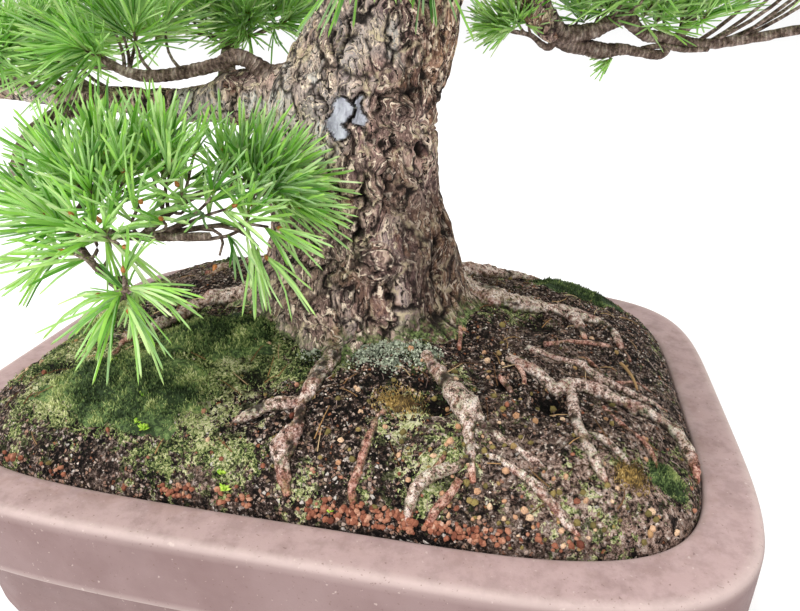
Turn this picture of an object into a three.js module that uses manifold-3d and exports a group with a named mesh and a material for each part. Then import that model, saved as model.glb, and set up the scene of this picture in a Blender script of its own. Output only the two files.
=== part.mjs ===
// Japanese white pine bonsai in a wide-rimmed stoneware pot.
// Millimetres, +Z up, X along the pot, the usual viewing side at -Y.
// The origin is on the table, under the middle of the pot.
import * as THREE from 'three';
import { mergeVertices } from 'three/addons/utils/BufferGeometryUtils.js';
import Module from 'manifold-3d';

const wasm = await Module();
wasm.setup();

// Pot
const POT_LENGTH = 455;
const POT_WIDTH = 332;
const POT_HEIGHT = 130;
const RIM_WIDTH = 25;
const LIP_HEIGHT = 43;
const LIP_STEP = 9;
const FOOT_HEIGHT = 13;
const FOOT_LENGTH = 80;
const FOOT_THICKNESS = 18;
const FOOT_INSET = 30;
const FOOT_FLARE = 3;
const FLOOR_THICKNESS = 12;
const CORNER_POWER = 4.9;
const CORNER_CROWDING = 0.12;
const DRAIN_RADIUS = 15;
const DRAIN_X = 110;

// Fillings
const GAP = 0.3;
const DRAINAGE_DEPTH = 18;
const SOIL_EDGE_DROP = 3;
const SOIL_PEAK = 43;
const SCREEN_SIDE = 48;
const SCREEN_THICKNESS = 1.2;
const SCREEN_PITCH = 7.5;
const SCREEN_HOLE = 5.5;
const SCREEN_HOLES_ACROSS = 5;
const WIRE_RADIUS = 0.8;
const WIRE_TAIL = 22;

// Tree and growth
const TREE_CLEARANCE = 0.42;
const POT_SIDES = 60;
const TRUNK_SIDES = 16;
const ROOT_SIDES = 6;
const ROOT_LIFT = 0.3;
const ROOT_TIP_LIFT = -0.9;

const POT_COLOUR = 0xa68c84;
const SOIL_COLOUR = 0x3a302a;
const GRIT_COLOUR = 0x9a8a78;
const BARK_COLOUR = 0x6b5646;
const NEEDLE_COLOUR = 0x5fa02e;
const MOSS_COLOUR = 0x4f6a2c;
const GOLDEN_MOSS_COLOUR = 0x9c8430;
const SCREEN_COLOUR = 0x22262a;
const WIRE_COLOUR = 0x6e4a34;

const HALF_LENGTH = POT_LENGTH / 2;
const HALF_WIDTH = POT_WIDTH / 2;
const RIM_Z = POT_HEIGHT;
const FLOOR_Z = FOOT_HEIGHT + FLOOR_THICKNESS;
const DRAINAGE_TOP = FLOOR_Z + DRAINAGE_DEPTH;
const SCREEN_Z = FLOOR_Z + GAP;

function toSolid(geometry) {
  const bare = geometry.clone();
  bare.deleteAttribute('normal');
  bare.deleteAttribute('uv');
  const merged = mergeVertices(bare);
  return new wasm.Manifold(new wasm.Mesh({
    numProp: 3,
    vertProperties: new Float32Array(merged.getAttribute('position').array),
    triVerts: new Uint32Array(merged.getIndex().array),
  }));
}

function toGeometry(solid) {
  const mesh = solid.getMesh();
  const geometry = new THREE.BufferGeometry();
  geometry.setAttribute('position', new THREE.BufferAttribute(new Float32Array(mesh.vertProperties), 3));
  geometry.setIndex(new THREE.BufferAttribute(new Uint32Array(mesh.triVerts), 1));
  geometry.computeVertexNormals();
  return geometry;
}

function join(solids) {
  return solids.reduce((whole, solid) => whole.add(solid));
}

// A closed solid made by moving the points of a capped cylinder. place(row, angle, reach) gives each point:
// row runs from 0 to rows, and reach is 1 on the wall and 0 at the middle of an end.
function shaped(sides, rows, place) {
  const geometry = new THREE.CylinderGeometry(1, 1, 1, sides, rows);
  const position = geometry.getAttribute('position');
  const point = new THREE.Vector3();
  for (let i = 0; i < position.count; i += 1) {
    point.fromBufferAttribute(position, i);
    const row = Math.round((point.y + 0.5) * rows);
    const reach = Math.round(Math.hypot(point.x, point.z));
    const angle = reach === 0 ? 0 : Math.atan2(point.x, point.z);
    const placed = place(row, Math.abs(angle + Math.PI) < 1e-6 ? Math.PI : angle, reach);
    position.setXYZ(i, placed.x, placed.y, placed.z);
  }
  return toSolid(geometry);
}

// The pot's rounded-rectangle outline at an angle, moved in from the outer edge by inset: a superellipse,
// with its points crowded towards the corners.
function outline(angle, inset) {
  const turned = angle + CORNER_CROWDING * Math.sin(4 * angle);
  const c = Math.cos(turned);
  const s = Math.sin(turned);
  const scale = (Math.abs(c) ** CORNER_POWER + Math.abs(s) ** CORNER_POWER) ** (-1 / CORNER_POWER);
  return new THREE.Vector2((HALF_LENGTH - inset) * scale * c, (HALF_WIDTH - inset) * scale * s);
}

// A solid of stacked outlines, from [inset, height] pairs, bottom first.
function stacked(profile, sides) {
  return shaped(sides, profile.length - 1, (row, angle, reach) => {
    const [inset, z] = profile[row];
    const point = outline(angle, inset).multiplyScalar(reach);
    return new THREE.Vector3(point.x, point.y, z);
  });
}

// Height of the soil above the rim plane: a mound that falls to just under the rim all round, with ripples.
function soilHeight(x, y) {
  const across = Math.abs(x / (HALF_LENGTH - RIM_WIDTH)) ** CORNER_POWER;
  const along = Math.abs(y / (HALF_WIDTH - RIM_WIDTH)) ** CORNER_POWER;
  const out = Math.min(1, (across + along) ** (1 / CORNER_POWER));
  const dome = (SOIL_PEAK + SOIL_EDGE_DROP) * (1 - out ** 3) ** 0.6 - SOIL_EDGE_DROP;
  const ripple = 1.5 * Math.sin(0.041 * x + 0.9) * Math.sin(0.052 * y + 0.4)
    + 0.9 * Math.sin(0.093 * x - 0.061 * y + 1.1);
  return dome + ripple * (1 - out ** 6);
}

// A tapering limb through [x, y, height above the rim, radius] points. grow makes it fatter all over.
function limb(route, sides, grow = 0) {
  const curve = new THREE.CatmullRomCurve3(route.map(([x, y, z]) => new THREE.Vector3(x, y, z + RIM_Z)));
  const stepsPerPoint = route.length > 4 ? 1 : 2;
  const rows = (route.length - 1) * stepsPerPoint;
  const run = curve.getPoint(1).sub(curve.getPoint(0)).normalize();
  const reference = Math.abs(run.z) < 0.8 ? new THREE.Vector3(0, 0, 1) : new THREE.Vector3(1, 0, 0);
  return shaped(sides, rows, (row, angle, reach) => {
    const t = row / rows;
    const step = Math.min(route.length - 2, Math.floor(t * (route.length - 1)));
    const blend = t * (route.length - 1) - step;
    const radius = THREE.MathUtils.lerp(route[step][3], route[step + 1][3], blend) + grow;
    const along = curve.getTangent(t);
    const side = along.clone().cross(reference).normalize();
    const up = along.clone().cross(side);
    const point = curve.getPoint(t);
    point.addScaledVector(side, Math.cos(angle) * radius * reach);
    point.addScaledVector(up, Math.sin(angle) * radius * reach);
    point.addScaledVector(along, row === 0 ? -grow : row === rows ? grow : 0);
    return point;
  });
}

// A surface root through [x, y, radius] points, half sunk in the soil, with its tip going under.
function rootRoute(points) {
  return points.map(([x, y, radius], i) => {
    const lift = i === points.length - 1 ? ROOT_TIP_LIFT : ROOT_LIFT;
    return [x, y, soilHeight(x, y) + lift * radius, radius];
  });
}

const TRUNK = [
  [4, 15, 16, 64], [4, 15, 38, 68], [4, 15, 54, 62], [4, 15, 82, 57], [2, 14, 112, 51], [1, 14, 138, 49],
  [3, 14, 162, 46], [12, 16, 184, 42], [20, 18, 208, 39], [24, 22, 242, 36], [20, 26, 278, 32], [8, 26, 312, 28],
  [-4, 22, 344, 24], [-8, 16, 378, 20], [-2, 12, 412, 16], [6, 12, 444, 12.5], [8, 14, 476, 9], [4, 14, 506, 6],
  [0, 14, 532, 3.5],
];

// Each branch: its main run and its side runs, as [x, y, height above the rim, radius] points.
const BRANCHES = {
  branch_left: [
    [[0, 14, 166, 20], [-33, 8, 172, 17], [-60, 8, 170, 14], [-93, 12, 165, 10], [-130, 14, 163, 8.5],
      [-166, 14, 163, 8], [-205, 10, 166, 6.5], [-245, 0, 172, 5], [-282, -8, 178, 3.5]],
    [[-54, 6, 172, 8], [-67, 4, 185, 6], [-84, 0, 184, 5], [-106, -6, 181, 5], [-123, -12, 183, 4.5],
      [-138, -12, 190, 3.5]],
    [[-75, 12, 169, 7], [-84, 34, 182, 5.5], [-95, 60, 194, 4.5], [-112, 84, 202, 3.5]],
  ],
  branch_foreground: [
    [[-160, 14, 163, 6], [-177, -8, 156, 5.5], [-176, -40, 144, 5], [-156, -70, 130, 4.5], [-118, -90, 118, 4],
      [-78, -89, 114, 3.5], [-46, -81, 114, 2.8]],
    [[-118, -90, 118, 3.5], [-98, -102, 104, 3], [-78, -112, 98, 2.5]],
    [[-78, -89, 114, 3], [-62, -70, 128, 2.8], [-38, -56, 136, 2.4]],
  ],
  branch_right: [
    [[22, 24, 270, 13], [45, 50, 254, 11], [68, 76, 234, 10], [86, 95, 219, 9], [99, 100, 207, 8.5],
      [112, 104, 199, 8], [138, 110, 192, 6], [169, 116, 188, 5], [192, 118, 189, 4.5], [220, 114, 195, 4],
      [255, 106, 203, 3.4], [285, 100, 209, 2.6]],
    [[108, 104, 200, 6], [130, 108, 203, 5], [148, 112, 206, 4], [166, 118, 212, 3]],
    [[110, 103, 199, 4], [99, 96, 197, 3], [88, 90, 203, 2.4]],
  ],
  branch_front_low: [
    [[22, 16, 250, 9], [34, -20, 252, 7.5], [46, -62, 246, 6], [54, -105, 244, 4.5], [56, -145, 248, 3.5]],
  ],
  branch_back_low: [
    [[16, 26, 282, 11], [6, 60, 280, 9], [-10, 100, 274, 7], [-20, 140, 276, 5], [-22, 172, 282, 3.5]],
  ],
  branch_left_mid: [
    [[6, 26, 307, 11], [-30, 20, 310, 9], [-75, 8, 306, 7], [-120, -6, 306, 5], [-165, -18, 312, 3.5]],
  ],
  branch_right_mid: [
    [[-4, 22, 344, 10], [36, 14, 350, 8], [80, 2, 346, 6.5], [125, -10, 346, 5], [165, -20, 352, 3.5]],
  ],
  branch_right_front: [
    [[20, 20, 288, 9], [56, -14, 296, 7.5], [88, -50, 293, 6], [122, -88, 294, 4.5], [142, -110, 300, 3]],
  ],
  branch_back_left: [
    [[4, 24, 338, 8], [-24, 56, 350, 6.5], [-52, 92, 348, 5], [-78, 124, 353, 3.5]],
  ],
  branch_front_mid: [
    [[-6, 16, 366, 8], [-12, -20, 374, 6.5], [-14, -60, 372, 5], [-12, -95, 376, 3.5]],
  ],
  branch_left_high: [
    [[-8, 16, 382, 8], [-40, 22, 390, 6.5], [-80, 30, 390, 5], [-115, 36, 396, 3.5]],
  ],
  branch_back_mid: [
    [[0, 12, 413, 7], [12, 44, 418, 5.5], [18, 78, 416, 4.5], [22, 112, 422, 3]],
  ],
  branch_front_high: [
    [[4, 12, 434, 6], [2, -16, 440, 5], [-2, -46, 438, 4], [-4, -76, 442, 3]],
  ],
  branch_right_high: [
    [[6, 12, 447, 6.5], [36, 12, 456, 5], [70, 10, 456, 4], [104, 6, 462, 3]],
  ],
  branch_left_top: [
    [[8, 14, 458, 5], [-18, 14, 467, 4.2], [-48, 12, 468, 3.4], [-78, 12, 473, 2.5]],
  ],
  branch_back_high: [
    [[8, 14, 472, 5], [10, 36, 482, 4], [10, 60, 482, 3.2], [10, 78, 486, 2.5]],
  ],
};

const SURFACE_ROOTS = [
  [[10, -30, 14], [3, -53, 12], [4, -75, 10], [2, -94, 9], [0, -111, 8], [3, -122, 5], [10, -131, 3]],
  [[2, -92, 6], [-16, -94, 6], [-26, -105, 5], [-33, -112, 3]],
  [[30, -14, 14], [50, -42, 11], [64, -65, 8.5], [74, -79, 9], [83, -90, 8], [89, -101, 6], [90, -118, 3.5]],
  [[84, -101, 4], [76, -106, 3.5], [75, -115, 3], [70, -122, 3], [65, -130, 3], [63, -136, 2.5]],
  [[86, -92, 5], [96, -98, 3.4], [105, -106, 3], [116, -111, 3], [126, -117, 2.4]],
  [[89, -101, 4], [98, -107, 3.2], [109, -117, 2.8], [119, -121, 2.8], [129, -126, 2.6], [137, -130, 2.4]],
  [[66, -22, 12], [95, -40, 8], [112, -50, 6], [121, -57, 5.5], [132, -56, 6], [144, -48, 5.5], [160, -49, 6.5],
    [175, -55, 6], [188, -63, 5], [194, -80, 3.5]],
  [[131, -57, 5], [136, -75, 5], [139, -86, 4.5], [144, -97, 4], [150, -110, 2.6]],
  [[58, -4, 10], [82, -8, 7], [106, -14, 5], [129, -27, 4.2], [145, -34, 4.2], [162, -34, 3.6], [176, -36, 2.6]],
  [[46, 38, 26], [69, 48, 19], [90, 54, 14], [110, 51, 10], [130, 48, 8], [148, 38, 6], [162, 24, 4]],
  [[36, 52, 18], [58, 78, 12], [84, 98, 8], [112, 108, 4]],
  [[-6, 62, 18], [-16, 88, 12], [-30, 108, 8], [-52, 118, 4]],
  [[-44, 12, 20], [-78, 2, 11], [-108, -20, 7], [-128, -43, 5], [-146, -60, 3]],
  [[-40, 42, 18], [-74, 58, 11], [-108, 64, 7], [-138, 60, 4]],
];

function branchSides(route) {
  return route[0][3] > 8 ? 8 : 6;
}

function trunkSolid(grow) {
  return join([
    limb(TRUNK, TRUNK_SIDES, grow),
    ...SURFACE_ROOTS.map((points) => limb(rootRoute(points), ROOT_SIDES, grow)),
  ]);
}

function branchSolid(routes, grow) {
  return join(routes.map((route) => limb(route, branchSides(route), grow)));
}

// The trunk and each branch as solids of their own: a branch ends just short of the wood it grows from.
function treeSolids() {
  const solids = { trunk: trunkSolid(0) };
  let fatWood = trunkSolid(TREE_CLEARANCE);
  for (const [name, routes] of Object.entries(BRANCHES)) {
    solids[name] = branchSolid(routes, 0).subtract(fatWood);
    fatWood = fatWood.add(branchSolid(routes, TREE_CLEARANCE));
  }
  return [solids, fatWood];
}

// Each pad of foliage: centre and half sizes, heights above the rim.
const PADS = {
  foliage_left_low: [[-236, 2, 196], [84, 66, 33]],
  foliage_left_inner: [[-117, -2, 207], [34, 32, 24]],
  foliage_left_back: [[-100, 86, 212], [62, 46, 27]],
  foliage_foreground: [[-72, -82, 112], [76, 46, 44]],
  foliage_right_inner: [[88, 90, 212], [20, 22, 17]],
  foliage_right_low: [[216, 108, 218], [104, 58, 31]],
  foliage_front_low: [[52, -118, 254], [64, 82, 36]],
  foliage_back_low: [[-18, 122, 296], [92, 78, 33]],
  foliage_left_mid: [[-120, -8, 328], [98, 68, 34]],
  foliage_right_mid: [[124, -8, 368], [94, 66, 34]],
  foliage_right_front: [[128, -97, 306], [64, 58, 29]],
  foliage_back_left: [[-66, 108, 366], [66, 52, 28]],
  foliage_front_mid: [[-12, -76, 392], [72, 56, 28]],
  foliage_left_high: [[-90, 30, 410], [76, 56, 28]],
  foliage_back_mid: [[18, 88, 438], [72, 54, 28]],
  foliage_front_high: [[-2, -58, 452], [56, 44, 24]],
  foliage_right_high: [[80, 4, 472], [64, 52, 27]],
  foliage_left_top: [[-62, 8, 482], [54, 48, 24]],
  foliage_back_high: [[8, 74, 496], [46, 38, 22]],
  foliage_apex: [[2, 10, 550], [66, 60, 40]],
};

function foliagePad([centre, half], tree) {
  const sphere = new THREE.SphereGeometry(1, 12, 6);
  sphere.rotateX(Math.PI / 2);
  sphere.scale(...half);
  sphere.translate(centre[0], centre[1], centre[2] + RIM_Z);
  return toSolid(sphere).subtract(tree);
}

// Each moss cushion: centre, half sizes, how high it stands, and its colour.
const MOSSES = {
  moss_deep_green: [[-66, -52], [34, 22], 4, MOSS_COLOUR],
  moss_front_left: [[-96, -98], [48, 24], 4, MOSS_COLOUR],
  moss_left_side: [[-168, 4], [20, 46], 4, MOSS_COLOUR],
  moss_golden_centre: [[50, -87], [12, 9], 3, GOLDEN_MOSS_COLOUR],
  moss_bright_tuft: [[179, -94], [9, 8], 5, MOSS_COLOUR],
  moss_golden_right: [[161, -104], [8, 7], 4, GOLDEN_MOSS_COLOUR],
  moss_back_left: [[-88, 96], [48, 20], 4, MOSS_COLOUR],
  moss_back_right: [[140, 92], [30, 22], 4, MOSS_COLOUR],
};
const MOSS_SUNK = 2;

// A cushion that follows the soil: domed on top, pressed a little into the soil below.
function mossCushion([[x, y], [halfX, halfY], height], grow = 0) {
  const reaches = [0.6, 1, 0.6];
  return shaped(10, reaches.length - 1, (row, angle, reach) => {
    const spread = reaches[row] * reach;
    const px = x + (halfX + grow) * spread * Math.cos(angle);
    const py = y + (halfY + grow) * spread * Math.sin(angle);
    const rise = row === 0 ? -MOSS_SUNK - grow : (height + grow) * (1 - spread ** 2);
    return new THREE.Vector3(px, py, soilHeight(px, py) + RIM_Z + rise);
  });
}

function potSolid() {
  const lipBottom = RIM_Z - LIP_HEIGHT;
  const body = stacked([
    [25, FOOT_HEIGHT], [19, FOOT_HEIGHT + 3], [16, FOOT_HEIGHT + 12], [LIP_STEP + 2, lipBottom - 4],
    [LIP_STEP, lipBottom - 1], [1.5, lipBottom], [0, lipBottom + 2], [0, RIM_Z - 3], [0.9, RIM_Z - 0.9], [3, RIM_Z],
  ], POT_SIDES);
  const hollow = stacked([
    [RIM_WIDTH + 3, FLOOR_Z], [RIM_WIDTH, FLOOR_Z + 6], [RIM_WIDTH, RIM_Z - 1.5], [RIM_WIDTH - 1.5, RIM_Z + 1],
  ], POT_SIDES);
  const footInner = FOOT_INSET + FOOT_THICKNESS;
  const footRing = stacked([[FOOT_INSET, 0], [FOOT_INSET - FOOT_FLARE, FOOT_HEIGHT + 2]], POT_SIDES)
    .subtract(stacked([[footInner, -1], [footInner, FOOT_HEIGHT + 3]], POT_SIDES));
  const corner = new THREE.BoxGeometry(FOOT_LENGTH, FOOT_LENGTH, FOOT_HEIGHT * 4);
  const corners = [-1, 1].flatMap((sideX) => [-1, 1].map((sideY) => toSolid(corner.clone().translate(
    sideX * (HALF_LENGTH - FOOT_INSET + FOOT_FLARE - FOOT_LENGTH / 2),
    sideY * (HALF_WIDTH - FOOT_INSET + FOOT_FLARE - FOOT_LENGTH / 2),
    0,
  ))));
  const drain = new THREE.CylinderGeometry(DRAIN_RADIUS, DRAIN_RADIUS, FLOOR_Z * 3, 20).rotateX(Math.PI / 2);
  const drains = [-DRAIN_X, DRAIN_X].map((x) => toSolid(drain.clone().translate(x, 0, 0)));
  return body.subtract(hollow).add(footRing.intersect(join(corners))).subtract(join(drains));
}

// The plastic mesh over a drain hole: a square sheet with rows of square holes.
function screenSolid() {
  const sheet = new THREE.BoxGeometry(SCREEN_SIDE, SCREEN_SIDE, SCREEN_THICKNESS);
  const hole = new THREE.BoxGeometry(SCREEN_HOLE, SCREEN_HOLE, SCREEN_THICKNESS * 2);
  const steps = Array.from({ length: SCREEN_HOLES_ACROSS }, (_, i) => i - (SCREEN_HOLES_ACROSS - 1) / 2);
  const holes = steps.flatMap((i) => steps.map((j) => toSolid(
    hole.clone().translate(i * SCREEN_PITCH, j * SCREEN_PITCH, 0),
  )));
  return toSolid(sheet).subtract(join(holes));
}

// The staple that holds a screen: over the mesh, down through the drain and out along the pot's underside.
function stapleGeometry() {
  const over = SCREEN_Z + SCREEN_THICKNESS + GAP + WIRE_RADIUS;
  const under = FOOT_HEIGHT - GAP - WIRE_RADIUS;
  const bend = 2;
  const half = [[0, over], [SCREEN_PITCH - bend, over], [SCREEN_PITCH, over - bend], [SCREEN_PITCH, under + bend],
    [SCREEN_PITCH + bend, under], [WIRE_TAIL, under]];
  const route = [...half.slice(1).reverse().map(([x, z]) => [-x, z]), ...half];
  const points = route.map(([x, z]) => new THREE.Vector3(x, 0, z));
  const curve = new THREE.CatmullRomCurve3(points, false, 'chordal', 0.1);
  const section = new THREE.Shape().absarc(0, 0, WIRE_RADIUS, 0, Math.PI * 2);
  return new THREE.ExtrudeGeometry(section, { steps: 36, curveSegments: 4, bevelEnabled: false, extrudePath: curve });
}

function drainageSolid() {
  const bed = stacked([
    [RIM_WIDTH + 3 + GAP, FLOOR_Z + GAP], [RIM_WIDTH + GAP, FLOOR_Z + 6 + GAP], [RIM_WIDTH + GAP, DRAINAGE_TOP],
  ], POT_SIDES);
  const recess = new THREE.BoxGeometry(SCREEN_SIDE + 2 * GAP, SCREEN_SIDE + 2 * GAP, 12);
  const recesses = [-DRAIN_X, DRAIN_X].map((x) => toSolid(recess.clone().translate(x, 0, FLOOR_Z - 1.8)));
  return bed.subtract(join(recesses));
}

function soilSolid(tree) {
  const edge = RIM_WIDTH + GAP;
  const reaches = [1, 1, 0.92, 0.8, 0.62, 0.42];
  const mound = shaped(POT_SIDES, reaches.length - 1, (row, angle, reach) => {
    const point = outline(angle, edge).multiplyScalar(reaches[row] * reach);
    const top = RIM_Z + soilHeight(point.x, point.y);
    return new THREE.Vector3(point.x, point.y, row === 0 ? DRAINAGE_TOP + GAP : top);
  });
  const cushions = join(Object.values(MOSSES).map((moss) => mossCushion(moss, GAP)));
  return mound.subtract(tree).subtract(cushions);
}

function named(name, geometry, colour, roughness = 0.9, metalness = 0) {
  const mesh = new THREE.Mesh(geometry, new THREE.MeshStandardMaterial({ color: colour, roughness, metalness }));
  mesh.name = name;
  return mesh;
}

const [woodSolids, fatTree] = treeSolids();

const holder = new THREE.Group();
holder.add(named('pot', toGeometry(potSolid()), POT_COLOUR, 0.7));
for (const [side, x] of [['left', -DRAIN_X], ['right', DRAIN_X]]) {
  const screen = named(`drain_screen_${side}`, toGeometry(screenSolid()), SCREEN_COLOUR, 0.6);
  screen.position.set(x, 0, SCREEN_Z + SCREEN_THICKNESS / 2);
  const staple = named(`screen_wire_${side}`, stapleGeometry(), WIRE_COLOUR, 0.4, 0.9);
  staple.position.set(x, 0, 0);
  holder.add(screen, staple);
}
holder.add(named('drainage_layer', toGeometry(drainageSolid()), GRIT_COLOUR));

const growth = new THREE.Group();
growth.add(named('soil', toGeometry(soilSolid(fatTree)), SOIL_COLOUR, 1));
for (const [name, solid] of Object.entries(woodSolids)) {
  growth.add(named(name, toGeometry(solid), BARK_COLOUR));
}
for (const [name, moss] of Object.entries(MOSSES)) {
  growth.add(named(name, toGeometry(mossCushion(moss)), moss[3], 1));
}
for (const [name, pad] of Object.entries(PADS)) {
  growth.add(named(name, toGeometry(foliagePad(pad, fatTree)), NEEDLE_COLOUR, 0.6));
}

const bonsai = new THREE.Group();
bonsai.add(holder, growth);

export default bonsai;
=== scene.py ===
"""Looks for a Japanese white pine grown as a bonsai in a wide-rimmed stoneware pot.

Every length below is in millimetres, and every growing point is [x, y, height above the rim plane]. A mesh
gets metres, in the frame of the CAD model: the table is at z = 0, and the usual viewing side is at -Y.
"""

from __future__ import annotations

import logging
import math
from dataclasses import dataclass, field, fields
from enum import Enum
from typing import Any, Callable

import bpy
import numpy as np
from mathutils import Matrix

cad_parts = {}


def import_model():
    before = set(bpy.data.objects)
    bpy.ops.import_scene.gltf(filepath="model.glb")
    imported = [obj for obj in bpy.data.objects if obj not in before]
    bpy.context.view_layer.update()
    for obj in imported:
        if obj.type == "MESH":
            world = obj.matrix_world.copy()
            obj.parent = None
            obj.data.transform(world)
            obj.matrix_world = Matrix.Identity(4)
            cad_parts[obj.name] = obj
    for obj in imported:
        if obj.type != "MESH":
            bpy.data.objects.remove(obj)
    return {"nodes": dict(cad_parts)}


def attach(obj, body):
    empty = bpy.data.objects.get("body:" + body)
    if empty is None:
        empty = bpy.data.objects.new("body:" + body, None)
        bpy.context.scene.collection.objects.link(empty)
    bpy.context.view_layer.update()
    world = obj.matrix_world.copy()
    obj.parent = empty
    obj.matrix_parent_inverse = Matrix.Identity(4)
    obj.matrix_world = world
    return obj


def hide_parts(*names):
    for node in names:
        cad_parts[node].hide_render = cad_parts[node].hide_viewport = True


LOG = logging.getLogger("bonsai")

MM = 0.001
UP = np.array([0.0, 0.0, 1.0])
RIM_Z = 130.0
RIM_LIFT = RIM_Z * UP
FOOT_HEIGHT = 13.0
DRAINAGE_TOP = 43.0
HALF_LENGTH = 227.5
HALF_WIDTH = 166.0
RIM_WIDTH = 25.0
CORNER_POWER = 4.9
CORNER_CROWDING = 0.12
SOIL_GAP = 0.3
SOIL_EDGE_DROP = 3.0
SOIL_PEAK = 43.0
TRUNK_X = 4.0
TRUNK_Y = 15.0
NEEDLE_REACH = (338.0, 212.0)
RUN_STEPS = 40
GOLDEN_ANGLE = math.pi * (3.0 - math.sqrt(5.0))

ShootRows = tuple[tuple[float, ...], ...]
Relief = Callable[[np.ndarray, np.ndarray], tuple[np.ndarray, dict[str, np.ndarray]]]

TRUNK_ROUTE = [
    [4, 15, 16, 64], [4, 15, 38, 68], [4, 15, 54, 62], [4, 15, 82, 57], [2, 14, 112, 51], [1, 14, 138, 49],
    [3, 14, 162, 46], [12, 16, 184, 42], [20, 18, 208, 39], [24, 22, 242, 36], [20, 26, 278, 32],
    [8, 26, 312, 28], [-4, 22, 344, 24], [-8, 16, 378, 20], [-2, 12, 412, 16], [6, 12, 444, 12.5],
    [8, 14, 476, 9], [4, 14, 506, 6], [0, 14, 532, 3.5],
]

BRANCH_ROUTES: dict[str, list[list[list[float]]]] = {
    "branch_left": [
        [[-4, 14, 165, 27], [-37, 13, 167, 20.5], [-61, 13, 167, 15.8], [-86, 12, 163, 11.3],
         [-106, 12, 162, 8.6], [-126, 11, 163, 7.4], [-163, 10, 165, 6.6], [-205, 10, 166, 6],
         [-245, 0, 172, 5], [-282, -8, 178, 3.5]],
        [[-37, 4, 174, 7.5], [-47, 2, 183, 5.4], [-56, 0, 189, 4.6], [-62, -3, 190, 4.8], [-72, -5, 186, 4],
         [-91, -7, 182, 3.7], [-110, -10, 180, 3.4], [-124, -13, 183, 2.8], [-138, -12, 190, 2.2]],
        [[-75, 12, 169, 6], [-84, 34, 182, 4.8], [-95, 60, 194, 4], [-112, 84, 202, 3]],
    ],
    "branch_foreground": [
        [[-160, 14, 163, 5.5], [-177, -8, 156, 5], [-176, -40, 144, 4.4], [-156, -70, 130, 3.8],
         [-118, -90, 118, 3], [-78, -89, 114, 2.3], [-46, -81, 114, 1.9]],
        [[-118, -90, 118, 2.4], [-98, -102, 104, 2.1], [-78, -112, 98, 1.7]],
        [[-78, -89, 114, 2.1], [-62, -70, 128, 1.9], [-38, -56, 136, 1.6]],
    ],
    "branch_right": [
        [[22, 24, 270, 13], [45, 50, 254, 12], [72, 76, 238, 11], [93, 88, 223, 10.3], [99, 90, 212, 9.8],
         [106, 92, 204, 8.4], [111, 94, 199, 6]],
        [[104, 91, 208, 8], [113, 94, 200, 6.4], [124, 97, 200, 5.4], [134, 99, 202, 5],
         [144, 101, 207, 4.7], [152, 103, 210, 5.4], [159, 105, 204, 4.2], [166, 108, 199, 3.9],
         [176, 110, 198, 3.8], [187, 112, 196, 3.8], [203, 114, 194, 3.4], [230, 112, 198, 3.2],
         [258, 106, 204, 2.8], [285, 100, 209, 2.2]],
        [[106, 96, 204, 6], [117, 99, 195, 5.5], [130, 101, 192, 5.5], [140, 102, 190, 5.1],
         [153, 104, 191, 3.4], [165, 105, 189, 3.2], [176, 107, 188, 3.2], [181, 108, 191, 1.9]],
        [[164, 106, 191, 1.9], [176, 108, 193, 1.9], [190, 110, 191, 1.9], [205, 112, 191, 1.6]],
        [[112, 98, 197, 2.7], [107, 97, 192, 2.3], [102, 96, 194, 1.9], [95, 96, 199, 1.6],
         [85, 95, 201, 1.4], [79, 94, 203, 1.3]],
        [[185, 112, 196, 3.1], [191, 113, 206, 3.7], [194, 115, 217, 4], [195, 116, 228, 3.4]],
    ],
    "branch_front_low": [
        [[22, 16, 250, 9], [34, -20, 252, 7.5], [46, -62, 246, 6], [54, -105, 244, 4.5],
         [56, -145, 248, 3.5]],
    ],
    "branch_back_low": [
        [[16, 26, 282, 11], [6, 60, 280, 9], [-10, 100, 274, 7], [-20, 140, 276, 5], [-22, 172, 282, 3.5]],
    ],
    "branch_left_mid": [
        [[6, 26, 307, 11], [-30, 20, 310, 9], [-75, 8, 306, 7], [-120, -6, 306, 5], [-165, -18, 312, 3.5]],
    ],
    "branch_right_mid": [
        [[-4, 22, 344, 10], [36, 14, 350, 8], [80, 2, 346, 6.5], [125, -10, 346, 5], [165, -20, 352, 3.5]],
    ],
    "branch_right_front": [
        [[20, 20, 288, 9], [56, -14, 296, 7.5], [88, -50, 293, 6], [122, -88, 294, 4.5],
         [142, -110, 300, 3]],
    ],
    "branch_back_left": [
        [[4, 24, 338, 8], [-24, 56, 350, 6.5], [-52, 92, 348, 5], [-78, 124, 353, 3.5]],
    ],
    "branch_front_mid": [
        [[-6, 16, 366, 8], [-12, -20, 374, 6.5], [-14, -60, 372, 5], [-12, -95, 376, 3.5]],
    ],
    "branch_left_high": [
        [[-8, 16, 382, 8], [-40, 22, 390, 6.5], [-80, 30, 390, 5], [-115, 36, 396, 3.5]],
    ],
    "branch_back_mid": [
        [[0, 12, 413, 7], [12, 44, 418, 5.5], [18, 78, 416, 4.5], [22, 112, 422, 3]],
    ],
    "branch_front_high": [
        [[4, 12, 434, 6], [2, -16, 440, 5], [-2, -46, 438, 4], [-4, -76, 442, 3]],
    ],
    "branch_right_high": [
        [[6, 12, 447, 6.5], [36, 12, 456, 5], [70, 10, 456, 4], [104, 6, 462, 3]],
    ],
    "branch_left_top": [
        [[8, 14, 458, 5], [-18, 14, 467, 4.2], [-48, 12, 468, 3.4], [-78, 12, 473, 2.5]],
    ],
    "branch_back_high": [
        [[8, 14, 472, 5], [10, 36, 482, 4], [10, 60, 482, 3.2], [10, 78, 486, 2.5]],
    ],
}

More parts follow.
